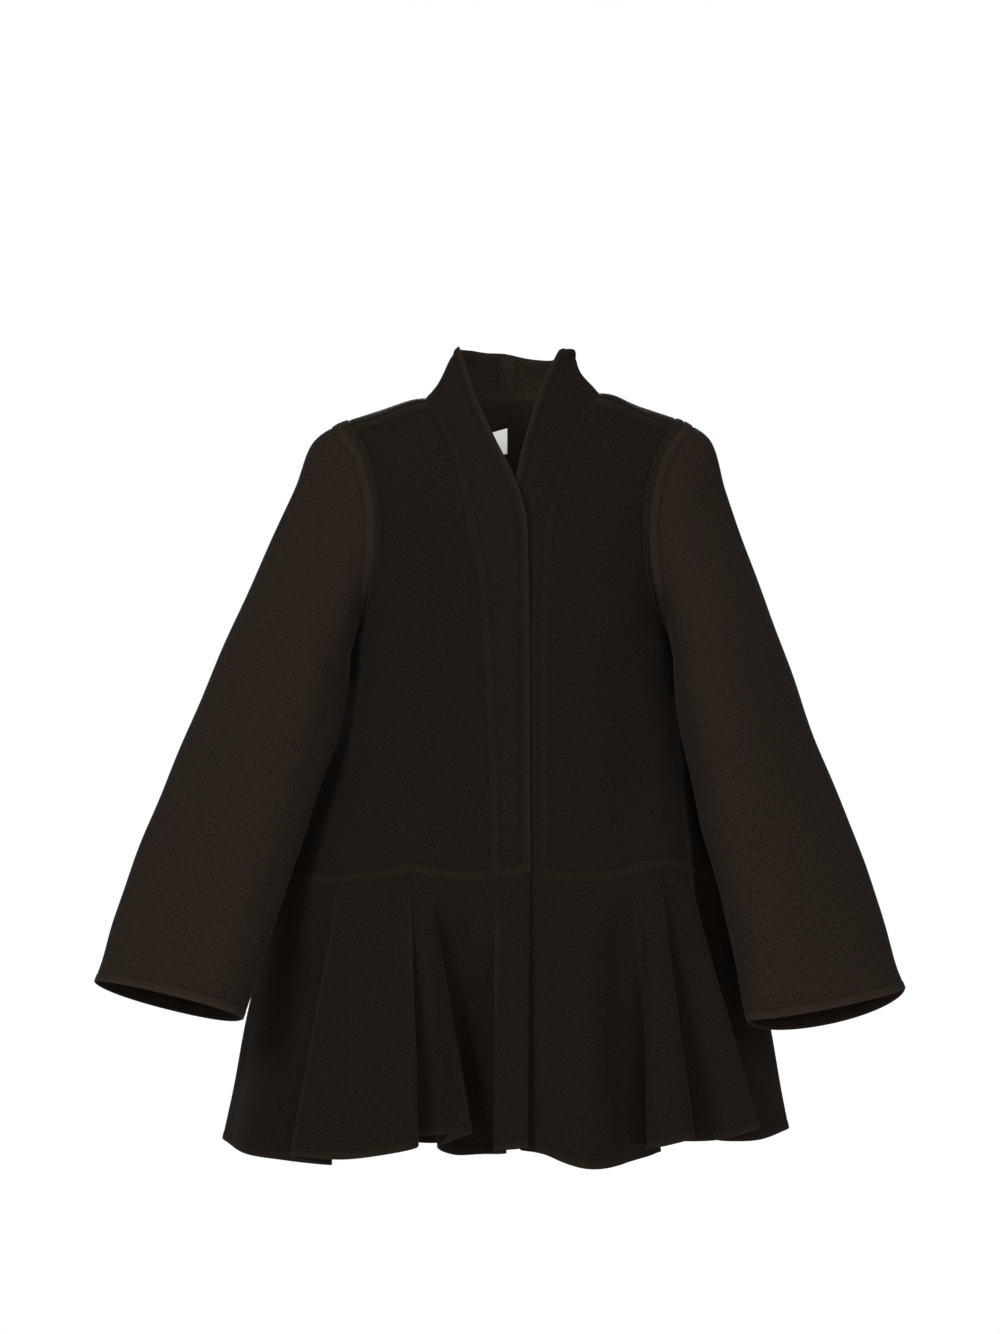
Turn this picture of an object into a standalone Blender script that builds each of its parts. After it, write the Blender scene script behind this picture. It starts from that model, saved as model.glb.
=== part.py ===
"""A short trapeze coat in thick double-faced wool, upright and hollow, as it hangs when filled out.

Sizes are in millimetres until the meshes are made. X runs across the front (the wearer's right is at -X),
Y from the front to the back and Z up. The origin is between the shoulders, at the base of the neck, where
the wearer carries the coat. Each piece is a sheet through worked-out sections, given the cloth's thickness.
"""

import bpy
import numpy as np

MM = 0.001

# Cloth and seams
CLOTH = 2.2
SEAM_INSET = 0.17
WAIST_GAP = 0.15
WAIST_LEVEL = -492.0
WAIST_WAVE = 14.0
LABEL_CLOTH = 0.8
LABEL_CLEARANCE = 0.4
SEAM_MATCH = 0.01
MOST_MITRE = 0.7

# Orders of a cell's corners: as the grid runs, facing the other way, and for the inner side of a wall
AS_LAID = [0, 1, 2, 3]
TURNED = [0, 3, 2, 1]
INNER_SIDE = [0, 3, 2, 1]

# Sections in each piece
ARMHOLE_STEPS = 16
NECK_STEPS = 4
SIDE_STEPS = 7
PANEL_STEPS = 11
BAND_STEPS = 4
FOLD_STEPS = 3
SLEEVE_STEPS = 14
SLEEVE_CROWDING = 1.25
SKIRT_ROWS = (0.0, 0.1, 0.22, 0.4, 0.65, 1.0)
LABEL_STEPS = 2

# Places along a body panel, from the shoulder seam (0) to the waist seam (1)
UNDERARM_AT = 0.5
BACK_NECK_AT = UNDERARM_AT * NECK_STEPS / ARMHOLE_STEPS
WAIST_EASE_FROM = 0.8

# Share of the sleeve over which its ring turns from the armhole into an oval
SLEEVE_CAP = 0.38

# How far the sleeve stands out from the body just below the underarm, and where along it
UNDERARM_CLEAR = 3.0
UNDERARM_CLEAR_AT = 0.06

# Drape fold at the side of the left front
DRAPE_TOP = (160.0, -250.0)
DRAPE_FOOT = (181.0, -488.0)
DRAPE_DEPTH = 20.0
DRAPE_WIDTH = 9.0

# Label inside the back neck, as ranges of the back panel
LABEL_ACROSS = (0.003, 0.105)
LABEL_DOWN = (0.165, 0.205)

COLOURS = {
    "body": (0.0137, 0.0100, 0.0077, 1.0),
    "band": (0.0150, 0.0110, 0.0086, 1.0),
    "sleeve": (0.0160, 0.0117, 0.0091, 1.0),
    "skirt": (0.0130, 0.0094, 0.0073, 1.0),
    "label": (0.80, 0.79, 0.76, 1.0),
}
CLOTH_ROUGHNESS = 0.92
SHARP_EDGE_DEG = 60.0


def table(columns, *rows):
    """A short table with named columns, each column as an array."""
    return dict(zip(columns.split(), np.array(rows, float).T))


# Front half and back half of an armhole, from the shoulder seam (0) to the underarm (1), outward x
ARMHOLE_FRONT = table(
    "at      x      y      z",
    (0.00, 177.0, -10.0, -29.0),
    (0.10, 163.0, -24.0, -46.0),
    (0.27, 150.0, -42.0, -84.0),
    (0.50, 144.0, -53.0, -143.0),
    (0.70, 149.0, -47.0, -194.0),
    (0.87, 158.0, -24.0, -232.0),
    (1.00, 168.0, 6.0, -247.0),
)
ARMHOLE_BACK = table(
    "at      x      y      z",
    (0.00, 177.0, -10.0, -29.0),
    (0.08, 179.0, 10.0, -23.0),
    (0.27, 170.0, 42.0, -64.0),
    (0.55, 159.0, 63.0, -136.0),
    (0.80, 161.0, 51.0, -204.0),
    (1.00, 168.0, 6.0, -247.0),
)

# Side seam from the underarm (0) to the waist seam (1), outward x on each side
SIDE_SEAM = table(
    "at   x_right  x_left    y       z",
    (0.00, 168.0, 168.0, 6.0, -247.0),
    (0.22, 175.0, 174.0, 6.0, -300.0),
    (0.47, 191.0, 188.0, 5.0, -360.0),
    (0.72, 217.0, 211.0, 4.0, -422.0),
    (1.00, 250.0, 242.0, 3.0, -494.0),
)

# Collar and front band: seam and free edge, from the centre back (-1) by the neck point (0) to the waist (1)
BAND_RIGHT = table(
    "at   seam_x  seam_y  seam_z  edge_x  edge_y  edge_z",
    (-1.00, -5.0, 60.0, 6.0, -5.0, 70.0, 55.0),
    (-0.70, -48.0, 50.0, 8.0, -34.0, 58.0, 57.0),
    (-0.35, -82.0, 22.0, 7.0, -56.0, 24.0, 60.0),
    (-0.03, -87.6, -11.2, 0.8, -55.5, -14.5, 59.5),
    (0.00, -87.0, -14.0, 0.0, -55.0, -18.0, 59.0),
    (0.02, -83.5, -21.5, -7.0, -49.0, -30.0, 42.0),
    (0.05, -78.0, -33.0, -18.0, -40.0, -50.0, 14.0),
    (0.10, -67.0, -53.0, -42.0, -23.0, -73.0, -25.0),
    (0.20, -52.0, -82.0, -92.0, 4.0, -94.0, -80.0),
    (0.27, -46.0, -96.0, -128.0, 15.0, -104.0, -117.0),
    (0.34, -38.0, -105.0, -166.0, 17.0, -110.0, -162.0),
    (0.50, -31.0, -117.0, -246.0, 18.0, -119.0, -245.0),
    (0.70, -25.0, -129.0, -346.0, 18.5, -131.0, -346.0),
    (1.00, -21.0, -147.0, -494.0, 19.0, -149.0, -489.0),
)
BAND_LEFT = table(
    "at   seam_x  seam_y  seam_z  edge_x  edge_y  edge_z",
    (-1.00, -5.0, 60.0, 6.0, -5.0, 70.0, 55.0),
    (-0.70, 38.0, 50.0, 8.0, 30.0, 59.0, 48.0),
    (-0.35, 77.0, 22.0, 8.0, 54.0, 26.0, 52.0),
    (-0.03, 86.4, -11.2, 2.6, 55.0, -14.5, 59.5),
    (0.00, 86.0, -14.0, 2.0, 54.0, -18.0, 59.0),
    (0.02, 82.0, -21.5, -6.0, 46.0, -29.0, 46.0),
    (0.05, 76.0, -33.0, -18.0, 32.0, -48.0, 22.0),
    (0.10, 67.0, -53.0, -42.0, 17.5, -69.0, -21.0),
    (0.20, 51.0, -80.0, -92.0, 3.0, -88.0, -80.0),
    (0.27, 44.0, -93.0, -128.0, -6.0, -97.0, -122.0),
    (0.34, 41.0, -101.0, -166.0, -12.0, -103.5, -164.0),
    (0.50, 38.5, -113.0, -246.0, -14.0, -114.0, -246.0),
    (0.70, 37.5, -125.0, -346.0, -14.5, -126.0, -346.0),
    (1.00, 37.0, -143.0, -495.0, -14.5, -144.5, -492.0),
)
BAND_ROLL = 2.5

# Centre back line below the neck seam
CENTRE_BACK = table(
    "at     x      y       z",
    (BACK_NECK_AT, -5.0, 60.0, 6.0),
    (0.20, -5.0, 82.0, -45.0),
    (0.35, -5.0, 104.0, -135.0),
    (0.50, -5.0, 112.0, -235.0),
    (0.72, -5.0, 122.0, -350.0),
    (1.00, -5.0, 138.0, -492.0),
)

# How far each row of a body panel follows an ellipse (1) and not a straight line (0)
ROUNDNESS = table(
    "at    front   back",
    (0.00, 0.00, 0.00),
    (0.12, 0.30, 0.25),
    (0.30, 0.62, 0.70),
    (0.50, 0.95, 0.95),
    (0.60, 1.00, 1.00),
    (1.00, 1.00, 1.00),
)

# Height of the waist seam across each front and the back
WAIST_RIGHT = table(
    "x        z",
    (-250.0, -497.0),
    (-172.0, -499.0),
    (-138.0, -496.0),
    (-98.0, -489.0),
    (-84.0, -492.0),
    (-47.0, -495.0),
    (19.0, -488.0),
)
WAIST_LEFT = table(
    "x        z",
    (-14.5, -490.0),
    (26.0, -492.0),
    (70.0, -498.0),
    (104.0, -495.0),
    (138.0, -486.0),
    (176.0, -486.0),
    (192.0, -494.0),
    (242.0, -496.0),
)
WAIST_BACK = table(
    "x        z",
    (-250.0, -497.0),
    (-150.0, -488.0),
    (-5.0, -492.0),
    (150.0, -488.0),
    (242.0, -496.0),
)

# Skirt folds: where each crest, valley and turn starts on the waist seam, and where it is at the hem
FOLDS_RIGHT = table(
    "waist_x  hem_x   hem_y   hem_z",
    (-250.0, -304.0, 0.0, -771.0),
    (-226.0, -272.0, -80.0, -785.0),
    (-188.0, -190.0, -112.0, -794.0),
    (-177.0, -233.0, -152.0, -783.0),
    (-147.0, -172.0, -190.0, -785.0),
    (-110.0, -100.0, -182.0, -774.0),
    (-103.0, -106.0, -150.0, -764.0),
    (-95.0, -72.0, -153.0, -761.0),
    (-86.0, -42.0, -168.0, -761.0),
    (-79.0, -76.0, -132.0, -774.0),
    (-66.0, -58.0, -110.0, -784.0),
    (-36.0, -28.0, -120.0, -783.0),
    (-21.0, -8.0, -142.0, -781.0),
    (-14.0, -21.0, -168.0, -778.0),
    (19.0, 16.5, -174.0, -774.0),
)
FOLDS_LEFT = table(
    "waist_x  hem_x   hem_y   hem_z",
    (-4.0, 8.0, -154.0, -777.0),
    (28.0, 32.0, -168.0, -781.0),
    (66.0, 76.0, -186.0, -795.0),
    (106.0, 116.0, -168.0, -792.0),
    (125.0, 152.0, -136.0, -780.0),
    (133.0, 131.0, -166.0, -777.0),
    (142.0, 160.0, -186.0, -771.0),
    (152.0, 189.0, -172.0, -764.0),
    (158.0, 171.0, -136.0, -768.0),
    (169.0, 214.0, -134.0, -767.0),
    (182.0, 258.0, -136.0, -755.0),
    (190.0, 214.0, -92.0, -768.0),
    (212.0, 256.0, -58.0, -770.0),
    (242.0, 291.0, 0.0, -760.0),
)
FOLDS_BACK = table(
    "waist_x  hem_x   hem_y   hem_z",
    (-250.0, -304.0, 0.0, -771.0),
    (-220.0, -270.0, 86.0, -774.0),
    (-186.0, -214.0, 110.0, -780.0),
    (-166.0, -212.0, 152.0, -772.0),
    (-132.0, -164.0, 182.0, -768.0),
    (-102.0, -110.0, 162.0, -774.0),
    (-86.0, -96.0, 124.0, -779.0),
    (-62.0, -60.0, 130.0, -778.0),
    (-42.0, -46.0, 170.0, -772.0),
    (-5.0, -2.0, 188.0, -769.0),
    (34.0, 44.0, 168.0, -773.0),
    (54.0, 54.0, 128.0, -779.0),
    (80.0, 92.0, 124.0, -778.0),
    (96.0, 104.0, 164.0, -772.0),
    (126.0, 156.0, 180.0, -766.0),
    (158.0, 206.0, 150.0, -766.0),
    (176.0, 208.0, 108.0, -770.0),
    (210.0, 256.0, 82.0, -764.0),
    (242.0, 291.0, 0.0, -760.0),
)

# Sleeve sections from the armhole (0) to the cuff (1), outward x
SLEEVE_RIGHT = table(
    "at   out_x  out_y  out_z   in_x   in_y   in_z  front  back  rise_front  rise_back",
    (0.00, 178.0, 2.0, -24.0, 160.0, -34.0, -236.0, 50.0, 60.0, 0.0, 0.0),
    (0.06, 207.0, 2.0, -42.0, 163.0, -40.0, -252.0, 48.0, 60.0, 0.0, 0.0),
    (0.14, 229.0, 0.0, -90.0, 166.0, -47.0, -275.0, 50.0, 58.0, 0.0, 0.0),
    (0.25, 258.0, -6.0, -152.0, 172.5, -56.0, -308.0, 52.0, 54.0, 0.0, 0.0),
    (0.40, 300.0, -18.0, -246.0, 188.5, -70.0, -366.0, 52.0, 50.0, 0.0, 0.0),
    (0.55, 343.0, -34.0, -350.0, 209.0, -84.0, -425.0, 50.0, 48.0, 2.0, -2.0),
    (0.70, 380.0, -54.0, -440.0, 228.0, -100.0, -490.0, 48.0, 46.0, 4.0, -4.0),
    (0.85, 413.0, -78.0, -532.0, 254.0, -116.0, -557.0, 46.0, 44.0, 6.0, -8.0),
    (0.95, 428.0, -95.0, -582.0, 274.0, -128.0, -612.0, 44.0, 42.0, 7.0, -11.0),
    (1.00, 436.0, -104.0, -603.0, 282.0, -134.0, -640.0, 43.0, 41.0, 7.0, -12.0),
)
SLEEVE_LEFT = table(
    "at   out_x  out_y  out_z   in_x   in_y   in_z  front  back  rise_front  rise_back",
    (0.00, 178.0, 2.0, -24.0, 158.0, -34.0, -236.0, 50.0, 60.0, 0.0, 0.0),
    (0.06, 205.0, 2.0, -40.0, 162.0, -40.0, -254.0, 48.0, 60.0, 0.0, 0.0),
    (0.14, 224.0, 0.0, -90.0, 164.5, -47.0, -280.0, 50.0, 58.0, 0.0, 0.0),
    (0.25, 247.0, -6.0, -152.0, 168.0, -56.0, -312.0, 52.0, 54.0, 0.0, 0.0),
    (0.40, 280.0, -18.0, -246.0, 181.0, -70.0, -366.0, 52.0, 50.0, 0.0, 0.0),
    (0.55, 318.0, -34.0, -350.0, 195.0, -84.0, -428.0, 50.0, 48.0, 0.0, -3.0),
    (0.70, 353.0, -54.0, -440.0, 213.0, -100.0, -495.0, 48.0, 46.0, -2.0, -8.0),
    (0.85, 387.0, -78.0, -532.0, 228.0, -116.0, -563.0, 46.0, 44.0, -3.0, -15.0),
    (0.95, 402.0, -95.0, -588.0, 239.0, -128.0, -620.0, 44.0, 42.0, -5.0, -22.0),
    (1.00, 411.0, -104.0, -609.0, 244.0, -134.0, -641.0, 43.0, 41.0, -5.0, -24.0),
)


def smooth(rows, column, at, key="at"):
    """A column read at any place, on a smooth curve through the table's rows."""
    x, y = rows[key], rows[column]
    slope = np.gradient(y, x)
    at = np.clip(at, x[0], x[-1])
    low = np.clip(np.searchsorted(x, at, side="right") - 1, 0, len(x) - 2)
    step = x[low + 1] - x[low]
    f = (at - x[low]) / step
    rise = y[low + 1] - y[low]
    bend_low = slope[low] * step - rise
    bend_high = rise - slope[low + 1] * step
    return y[low] + f * rise + f * (1 - f) * ((1 - f) * bend_low + f * bend_high)


def point(rows, at, prefix=""):
    """The x, y and z columns read together."""
    return np.stack([smooth(rows, prefix + axis, at) for axis in "xyz"], axis=-1)


def ease(value):
    """A smooth step from 0 to 1."""
    value = np.clip(value, 0.0, 1.0)
    return value * value * (3.0 - 2.0 * value)


def armhole(half, side, at):
    """Points on one half of an armhole."""
    return point(half, at) * (side, 1.0, 1.0)


def side_seam(side, at):
    """Points on a side seam, below the underarm."""
    column = "x_right" if side < 0 else "x_left"
    x = side * smooth(SIDE_SEAM, column, at)
    return np.stack([x, smooth(SIDE_SEAM, "y", at), smooth(SIDE_SEAM, "z", at)], axis=-1)


def outer_edge(half, side, down):
    """The edge of a body panel away from its middle: the armhole, then the side seam."""
    upper = armhole(half, side, np.clip(down / UNDERARM_AT, 0.0, 1.0))
    lower = side_seam(side, np.clip((down - UNDERARM_AT) / (1.0 - UNDERARM_AT), 0.0, 1.0))
    return np.where((down <= UNDERARM_AT)[:, None], upper, lower)


def back_inner_edge(band, down):
    """The neck seam from the shoulder to the centre back, then the centre back line."""
    neck = point(band, -np.clip(down / BACK_NECK_AT, 0.0, 1.0), "seam_")
    centre = point(CENTRE_BACK, down)
    return np.where((down <= BACK_NECK_AT)[:, None], neck, centre)


def rounded_rows(inner, outer, roundness, across):
    """Rows from one edge to the other, each part straight line and part quarter ellipse."""
    turn = across * np.pi / 2
    share = roundness[:, None]
    sideways = (1 - share) * across + share * np.sin(turn)
    backward = (1 - share) * across + share * (1 - np.cos(turn))
    span = (outer - inner)[:, None, :]
    moves = np.stack([sideways, backward, np.broadcast_to(across, sideways.shape)], axis=-1)
    return inner[:, None, :] + span * moves


def settle_on_waist(grid, waist, down):
    """Bends the lowest rows to the height of the waist seam."""
    share = ease((down - WAIST_EASE_FROM) / (1.0 - WAIST_EASE_FROM))[:, None]
    target = smooth(waist, "z", grid[-1, :, 0], key="x")
    grid[:, :, 2] += share * (target - grid[-1, :, 2])
    return grid


def drape_fold(points):
    """The step back at the side of the left front, dying out at the underarm and the side seam."""
    x, z = points[..., 0], points[..., 2]
    down = np.clip((DRAPE_TOP[1] - z) / (DRAPE_TOP[1] - DRAPE_FOOT[1]), 0.0, 1.0)
    line = DRAPE_TOP[0] + (DRAPE_FOOT[0] - DRAPE_TOP[0]) * down
    side = np.interp(-z, -SIDE_SEAM["z"], SIDE_SEAM["x_left"])
    out = ease((side - x) / np.maximum(side - line - DRAPE_WIDTH, 1.0))
    points[..., 1] += DRAPE_DEPTH * down * ease((x - line) / DRAPE_WIDTH) * out
    return points


def front_panel(band, side, waist, down, across):
    """A front, from the band's seam to the armhole and side seam."""
    inner = point(band, down, "seam_")
    outer = outer_edge(ARMHOLE_FRONT, side, down)
    grid = rounded_rows(inner, outer, smooth(ROUNDNESS, "front", down), across)
    if side > 0:
        grid[:, :-1] = drape_fold(grid[:, :-1])
    return settle_on_waist(grid, waist, down)


def back_panel(band, side, down, across):
    """Half of the back, from the neck and centre back to the armhole and side seam."""
    inner = back_inner_edge(band, down)
    outer = outer_edge(ARMHOLE_BACK, side, down)
    grid = rounded_rows(inner, outer, smooth(ROUNDNESS, "back", down), across)
    return settle_on_waist(grid, WAIST_BACK, down)


def collar_band(band, side, waist, along, across):
    """The strip from the seam to the free edge, slightly rolled between them."""
    seam = point(band, along, "seam_")[:, None, :]
    edge = point(band, along, "edge_")[:, None, :]
    width = across[None, :, None]
    grid = seam + (edge - seam) * width
    run = np.gradient(grid, axis=0)
    out = np.cross(run, np.broadcast_to(edge - seam, grid.shape))
    out /= np.linalg.norm(out, axis=-1, keepdims=True)
    grid = grid - out * side * BAND_ROLL * 4 * width * (1 - width)
    foot = smooth(waist, "z", grid[-1, :, 0], key="x")
    share = ease((along - WAIST_EASE_FROM) / (1.0 - WAIST_EASE_FROM))[:, None]
    grid[:, :, 2] += share * (foot - grid[-1, :, 2])
    return grid


def waist_curve(grids):
    """The bottom rows of the panels above, as one curve to read at any x."""
    row = np.concatenate([grid[-1] for grid in grids])
    order = np.argsort(row[:, 0])
    return row[order]


def skirt(folds, waist, rows, steps):
    """Straight fold lines from the waist curve to the hem curve, both read on a smooth run of folds."""
    count = len(folds["waist_x"])
    folds["at"] = np.arange(count, dtype=float)
    at = np.linspace(0.0, count - 1.0, (count - 1) * steps + 1)
    top_x = np.maximum.accumulate(smooth(folds, "waist_x", at))
    top = np.stack([top_x] + [np.interp(top_x, waist[:, 0], waist[:, i]) for i in (1, 2)], axis=-1)
    top[:, 2] -= WAIST_GAP
    hem = np.stack([smooth(folds, "hem_" + axis, at) for axis in "xyz"], axis=-1)
    share = np.array(rows)[:, None, None]
    return top + (hem - top) * share


def oval(rows, side, turn, along):
    """Sleeve sections: an oval through the outer and inner edges, deeper or shallower before and behind."""
    out = point(rows, along, "out_")[:, None, :]
    inner = point(rows, along, "in_")[:, None, :]
    front = smooth(rows, "front", along)[:, None]
    back = smooth(rows, "back", along)[:, None]
    rise_front = smooth(rows, "rise_front", along)[:, None]
    rise_back = smooth(rows, "rise_back", along)[:, None]
    forward = np.maximum(np.sin(turn), 0.0)
    rearward = np.maximum(-np.sin(turn), 0.0)
    ring = (out + inner) / 2 + (out - inner) / 2 * np.cos(turn)[:, None]
    ring[..., 1] += back * rearward - front * forward
    ring[..., 2] += rise_front * forward + rise_back * rearward
    return ring * (side, 1.0, 1.0)


def sleeve(rows, side, armhole_at, along):
    """A tube whose first ring is the armhole, growing into the ovals of the table."""
    ahead = armhole(ARMHOLE_FRONT, side, armhole_at)
    behind = armhole(ARMHOLE_BACK, side, armhole_at[-2:0:-1])
    ring = np.concatenate([ahead, behind])
    turn = np.concatenate([np.pi * armhole_at, 2 * np.pi - np.pi * armhole_at[-2:0:-1]])
    ovals = oval(rows, side, turn, along)
    fade = (1.0 - ease(along / SLEEVE_CAP))[:, None, None]
    tube = ovals + fade * (ring - ovals[0])
    reach = along / UNDERARM_CLEAR_AT
    push = UNDERARM_CLEAR * reach * np.exp(1.0 - reach)
    below = (0.5 - 0.5 * np.cos(turn)) ** 2
    tube[..., 0] += side * push[:, None] * below
    return np.concatenate([tube, tube[:, :1]], axis=1)


def sheet(*grids):
    """Grids of points as one mesh: points that coincide are made one, and each cell is a face.

    Each grid comes with the order in which a cell's corners are taken, which sets the side it faces.
    """
    corners, faces, start = [], [], 0
    for grid, order in grids:
        rows, columns = grid.shape[:2]
        index = start + np.arange(rows * columns).reshape(rows, columns)
        cells = np.stack([index[:-1, :-1], index[1:, :-1], index[1:, 1:], index[:-1, 1:]], axis=-1)
        corners.append(grid.reshape(-1, 3))
        faces.append(cells.reshape(-1, 4)[:, order])
        start += rows * columns
    corners = np.concatenate(corners)
    faces = np.concatenate(faces)
    keys = np.round(corners / SEAM_MATCH).astype(int)
    _, first, where = np.unique(keys, axis=0, return_index=True, return_inverse=True)
    return corners[first], where.reshape(-1)[faces]


def outward(points, faces):
    """Unit normals at the points, each the mean of the faces round it."""
    p = points[faces]
    normal = np.cross(p[:, 2] - p[:, 0], p[:, 3] - p[:, 1])
    total = np.zeros_like(points)
    for corner in range(4):
        np.add.at(total, faces[:, corner], normal)
    return total / np.linalg.norm(total, axis=1, keepdims=True)


def rim(faces):
    """The edges that only one face has, in that face's order."""
    edges = np.concatenate([faces[:, [i, (i + 1) % 4]] for i in range(4)])
    _, where, count = np.unique(np.sort(edges, axis=1), axis=0, return_inverse=True, return_counts=True)
    return edges[count[where.reshape(-1)] == 1]


def drawn_in(points, faces):
    """The sheet's edge moved in a little, square to itself, so that two pieces at a seam stand apart."""
    normals = outward(points, faces)
    edges = rim(faces)
    run = points[edges[:, 1]] - points[edges[:, 0]]
    inward = np.cross(normals[edges[:, 0]] + normals[edges[:, 1]], run)
    inward /= np.linalg.norm(inward, axis=1, keepdims=True)
    total = np.zeros_like(points)
    np.add.at(total, edges[:, 0], inward)
    np.add.at(total, edges[:, 1], inward)
    square = (total**2).sum(axis=1, keepdims=True) / 2
    return points + total / np.maximum(square, MOST_MITRE) * SEAM_INSET


def shared_normals(sheets):
    """Normals in which the pieces that meet at a seam point lean the same way, level at the waist seam."""
    normals = {name: outward(*mesh) for name, mesh in sheets.items()}
    seams = {}
    for name, (points, faces) in sheets.items():
        for i in np.unique(rim(faces)):
            seams.setdefault(tuple(np.round(points[i] / SEAM_MATCH).astype(int)), []).append((name, i))
    for members in seams.values():
        lean = sum(normals[name][i] for name, i in members)
        lean /= np.linalg.norm(lean)
        facing = np.mean([lean @ normals[name][i] for name, i in members])
        for name, i in members:
            normals[name][i] = lean / max(facing, MOST_MITRE)
    for name, (points, faces) in sheets.items():
        edge = np.unique(rim(faces))
        seam = edge[np.abs(points[edge, 2] - WAIST_LEVEL) < WAIST_WAVE]
        normals[name][seam, 2] = 0.0
        normals[name][seam] /= np.linalg.norm(normals[name][seam], axis=1, keepdims=True)
    return normals


def wall(points, faces, normals, thickness):
    """A closed wall: the sheet, the same sheet moved in by the thickness, and the rim between them.

    Each rim cell is cut from its lower outer corner to its higher inner one, so two rims at a seam run alike.
    """
    count = len(points)
    a, b = rim(faces).T
    rising = points[a, 2] < points[b, 2]
    inner_a = a + count
    inner_b = b + count
    first = np.stack([b, a, np.where(rising, inner_b, inner_a)], axis=1)
    second = np.stack([np.where(rising, a, b), inner_a, inner_b], axis=1)
    cells = np.concatenate([faces, faces[:, INNER_SIDE] + count])
    both_sides = np.concatenate([points, points - normals * thickness])
    return both_sides, cells.tolist() + first.tolist() + second.tolist()


def material(name, colour):
    """A matt cloth finish."""
    made = bpy.data.materials.new(name)
    made.use_nodes = True
    shader = made.node_tree.nodes["Principled BSDF"]
    shader.inputs["Base Color"].default_value = colour
    shader.inputs["Roughness"].default_value = CLOTH_ROUGHNESS
    shader.inputs["Metallic"].default_value = 0.0
    return made


def add_piece(name, points, faces, finish, parent):
    """Puts one piece into the scene, smooth but for its cut edges."""
    mesh = bpy.data.meshes.new(name)
    mesh.from_pydata((points * MM).tolist(), [], faces)
    mesh.shade_smooth()
    mesh.set_sharp_from_angle(angle=np.radians(SHARP_EDGE_DEG))
    mesh.materials.append(finish)
    piece = bpy.data.objects.new(name, mesh)
    piece.parent = parent
    bpy.context.scene.collection.objects.link(piece)


def coat_sheets():
    """Every piece as a sheet whose normals point out of the coat."""
    armhole_at = np.linspace(0.0, 1.0, ARMHOLE_STEPS + 1)
    upper = armhole_at * UNDERARM_AT
    lower = np.linspace(UNDERARM_AT, 1.0, SIDE_STEPS + 1)[1:]
    down = np.concatenate([upper, lower])
    along = np.concatenate([-upper[NECK_STEPS:0:-1] / BACK_NECK_AT, down])
    across = np.linspace(0.0, 1.0, PANEL_STEPS + 1)
    width = np.linspace(0.0, 1.0, BAND_STEPS + 1)
    sleeve_at = np.linspace(0.0, 1.0, SLEEVE_STEPS + 1) ** SLEEVE_CROWDING

    front_right = front_panel(BAND_RIGHT, -1, WAIST_RIGHT, down, across)
    front_left = front_panel(BAND_LEFT, 1, WAIST_LEFT, down, across)
    back_right = back_panel(BAND_RIGHT, -1, down, across)
    back_left = back_panel(BAND_LEFT, 1, down, across)
    band_right = collar_band(BAND_RIGHT, -1, WAIST_RIGHT, along, width)
    band_left = collar_band(BAND_LEFT, 1, WAIST_LEFT, along, width)
    waist_right = waist_curve([front_right, band_right[:, 1:]])
    waist_left = waist_curve([front_left, band_left[:, 1:]])
    waist_back = waist_curve([back_right, back_left[:, 1:]])
    return {
        "front_body_right": sheet((front_right, TURNED)),
        "front_body_left": sheet((front_left, AS_LAID)),
        "back_body": sheet((back_right, AS_LAID), (back_left, TURNED)),
        "collar_band_right": sheet((band_right, AS_LAID)),
        "collar_band_left": sheet((band_left, TURNED)),
        "sleeve_right": sheet((sleeve(SLEEVE_RIGHT, -1, armhole_at, sleeve_at), AS_LAID)),
        "sleeve_left": sheet((sleeve(SLEEVE_LEFT, 1, armhole_at, sleeve_at), TURNED)),
        "peplum_front_right": sheet((skirt(FOLDS_RIGHT, waist_right, SKIRT_ROWS, FOLD_STEPS), AS_LAID)),
        "peplum_front_left": sheet((skirt(FOLDS_LEFT, waist_left, SKIRT_ROWS, FOLD_STEPS), AS_LAID)),
        "peplum_back": sheet((skirt(FOLDS_BACK, waist_back, SKIRT_ROWS, FOLD_STEPS), TURNED)),
    }


def label_sheet():
    """The label on the inside of the back: a patch of the back panel moved in past the cloth."""
    down = np.linspace(*LABEL_DOWN, LABEL_STEPS + 1)
    across = np.linspace(*LABEL_ACROSS, LABEL_STEPS + 1)
    inner = back_inner_edge(BAND_RIGHT, down)
    outer = outer_edge(ARMHOLE_BACK, -1, down)
    patch = rounded_rows(inner, outer, smooth(ROUNDNESS, "back", down), across)
    points, faces = sheet((patch, AS_LAID))
    return points - outward(points, faces) * (CLOTH + LABEL_CLEARANCE), faces


def main():
    for old in list(bpy.data.objects):
        bpy.data.objects.remove(old, do_unlink=True)
    coat = bpy.data.objects.new("coat", None)
    bpy.context.scene.collection.objects.link(coat)
    sheets = coat_sheets()
    normals = shared_normals(sheets)
    finish_of = {"front": "body", "back": "body", "collar": "band", "sleeve": "sleeve", "peplum": "skirt"}
    for name, (points, faces) in sheets.items():
        kind = finish_of[name.split("_")[0]]
        closed = wall(drawn_in(points, faces), faces, normals[name], CLOTH)
        add_piece(name, *closed, material(name, COLOURS[kind]), coat)
    points, faces = label_sheet()
    closed = wall(points, faces, outward(points, faces), LABEL_CLOTH)
    add_piece("neck_label", *closed, material("neck_label", COLOURS["label"]), coat)


main()
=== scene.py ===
"""The looks of the short coat: thick brushed wool, cut and sewn, hollow and upright.

Each piece repeats the cut of its solid on a finer grid. Lengths are in millimetres until the meshes are
made. X runs across the front (the wearer's right is at -X), Y from the front to the back and Z up.
"""

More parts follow.
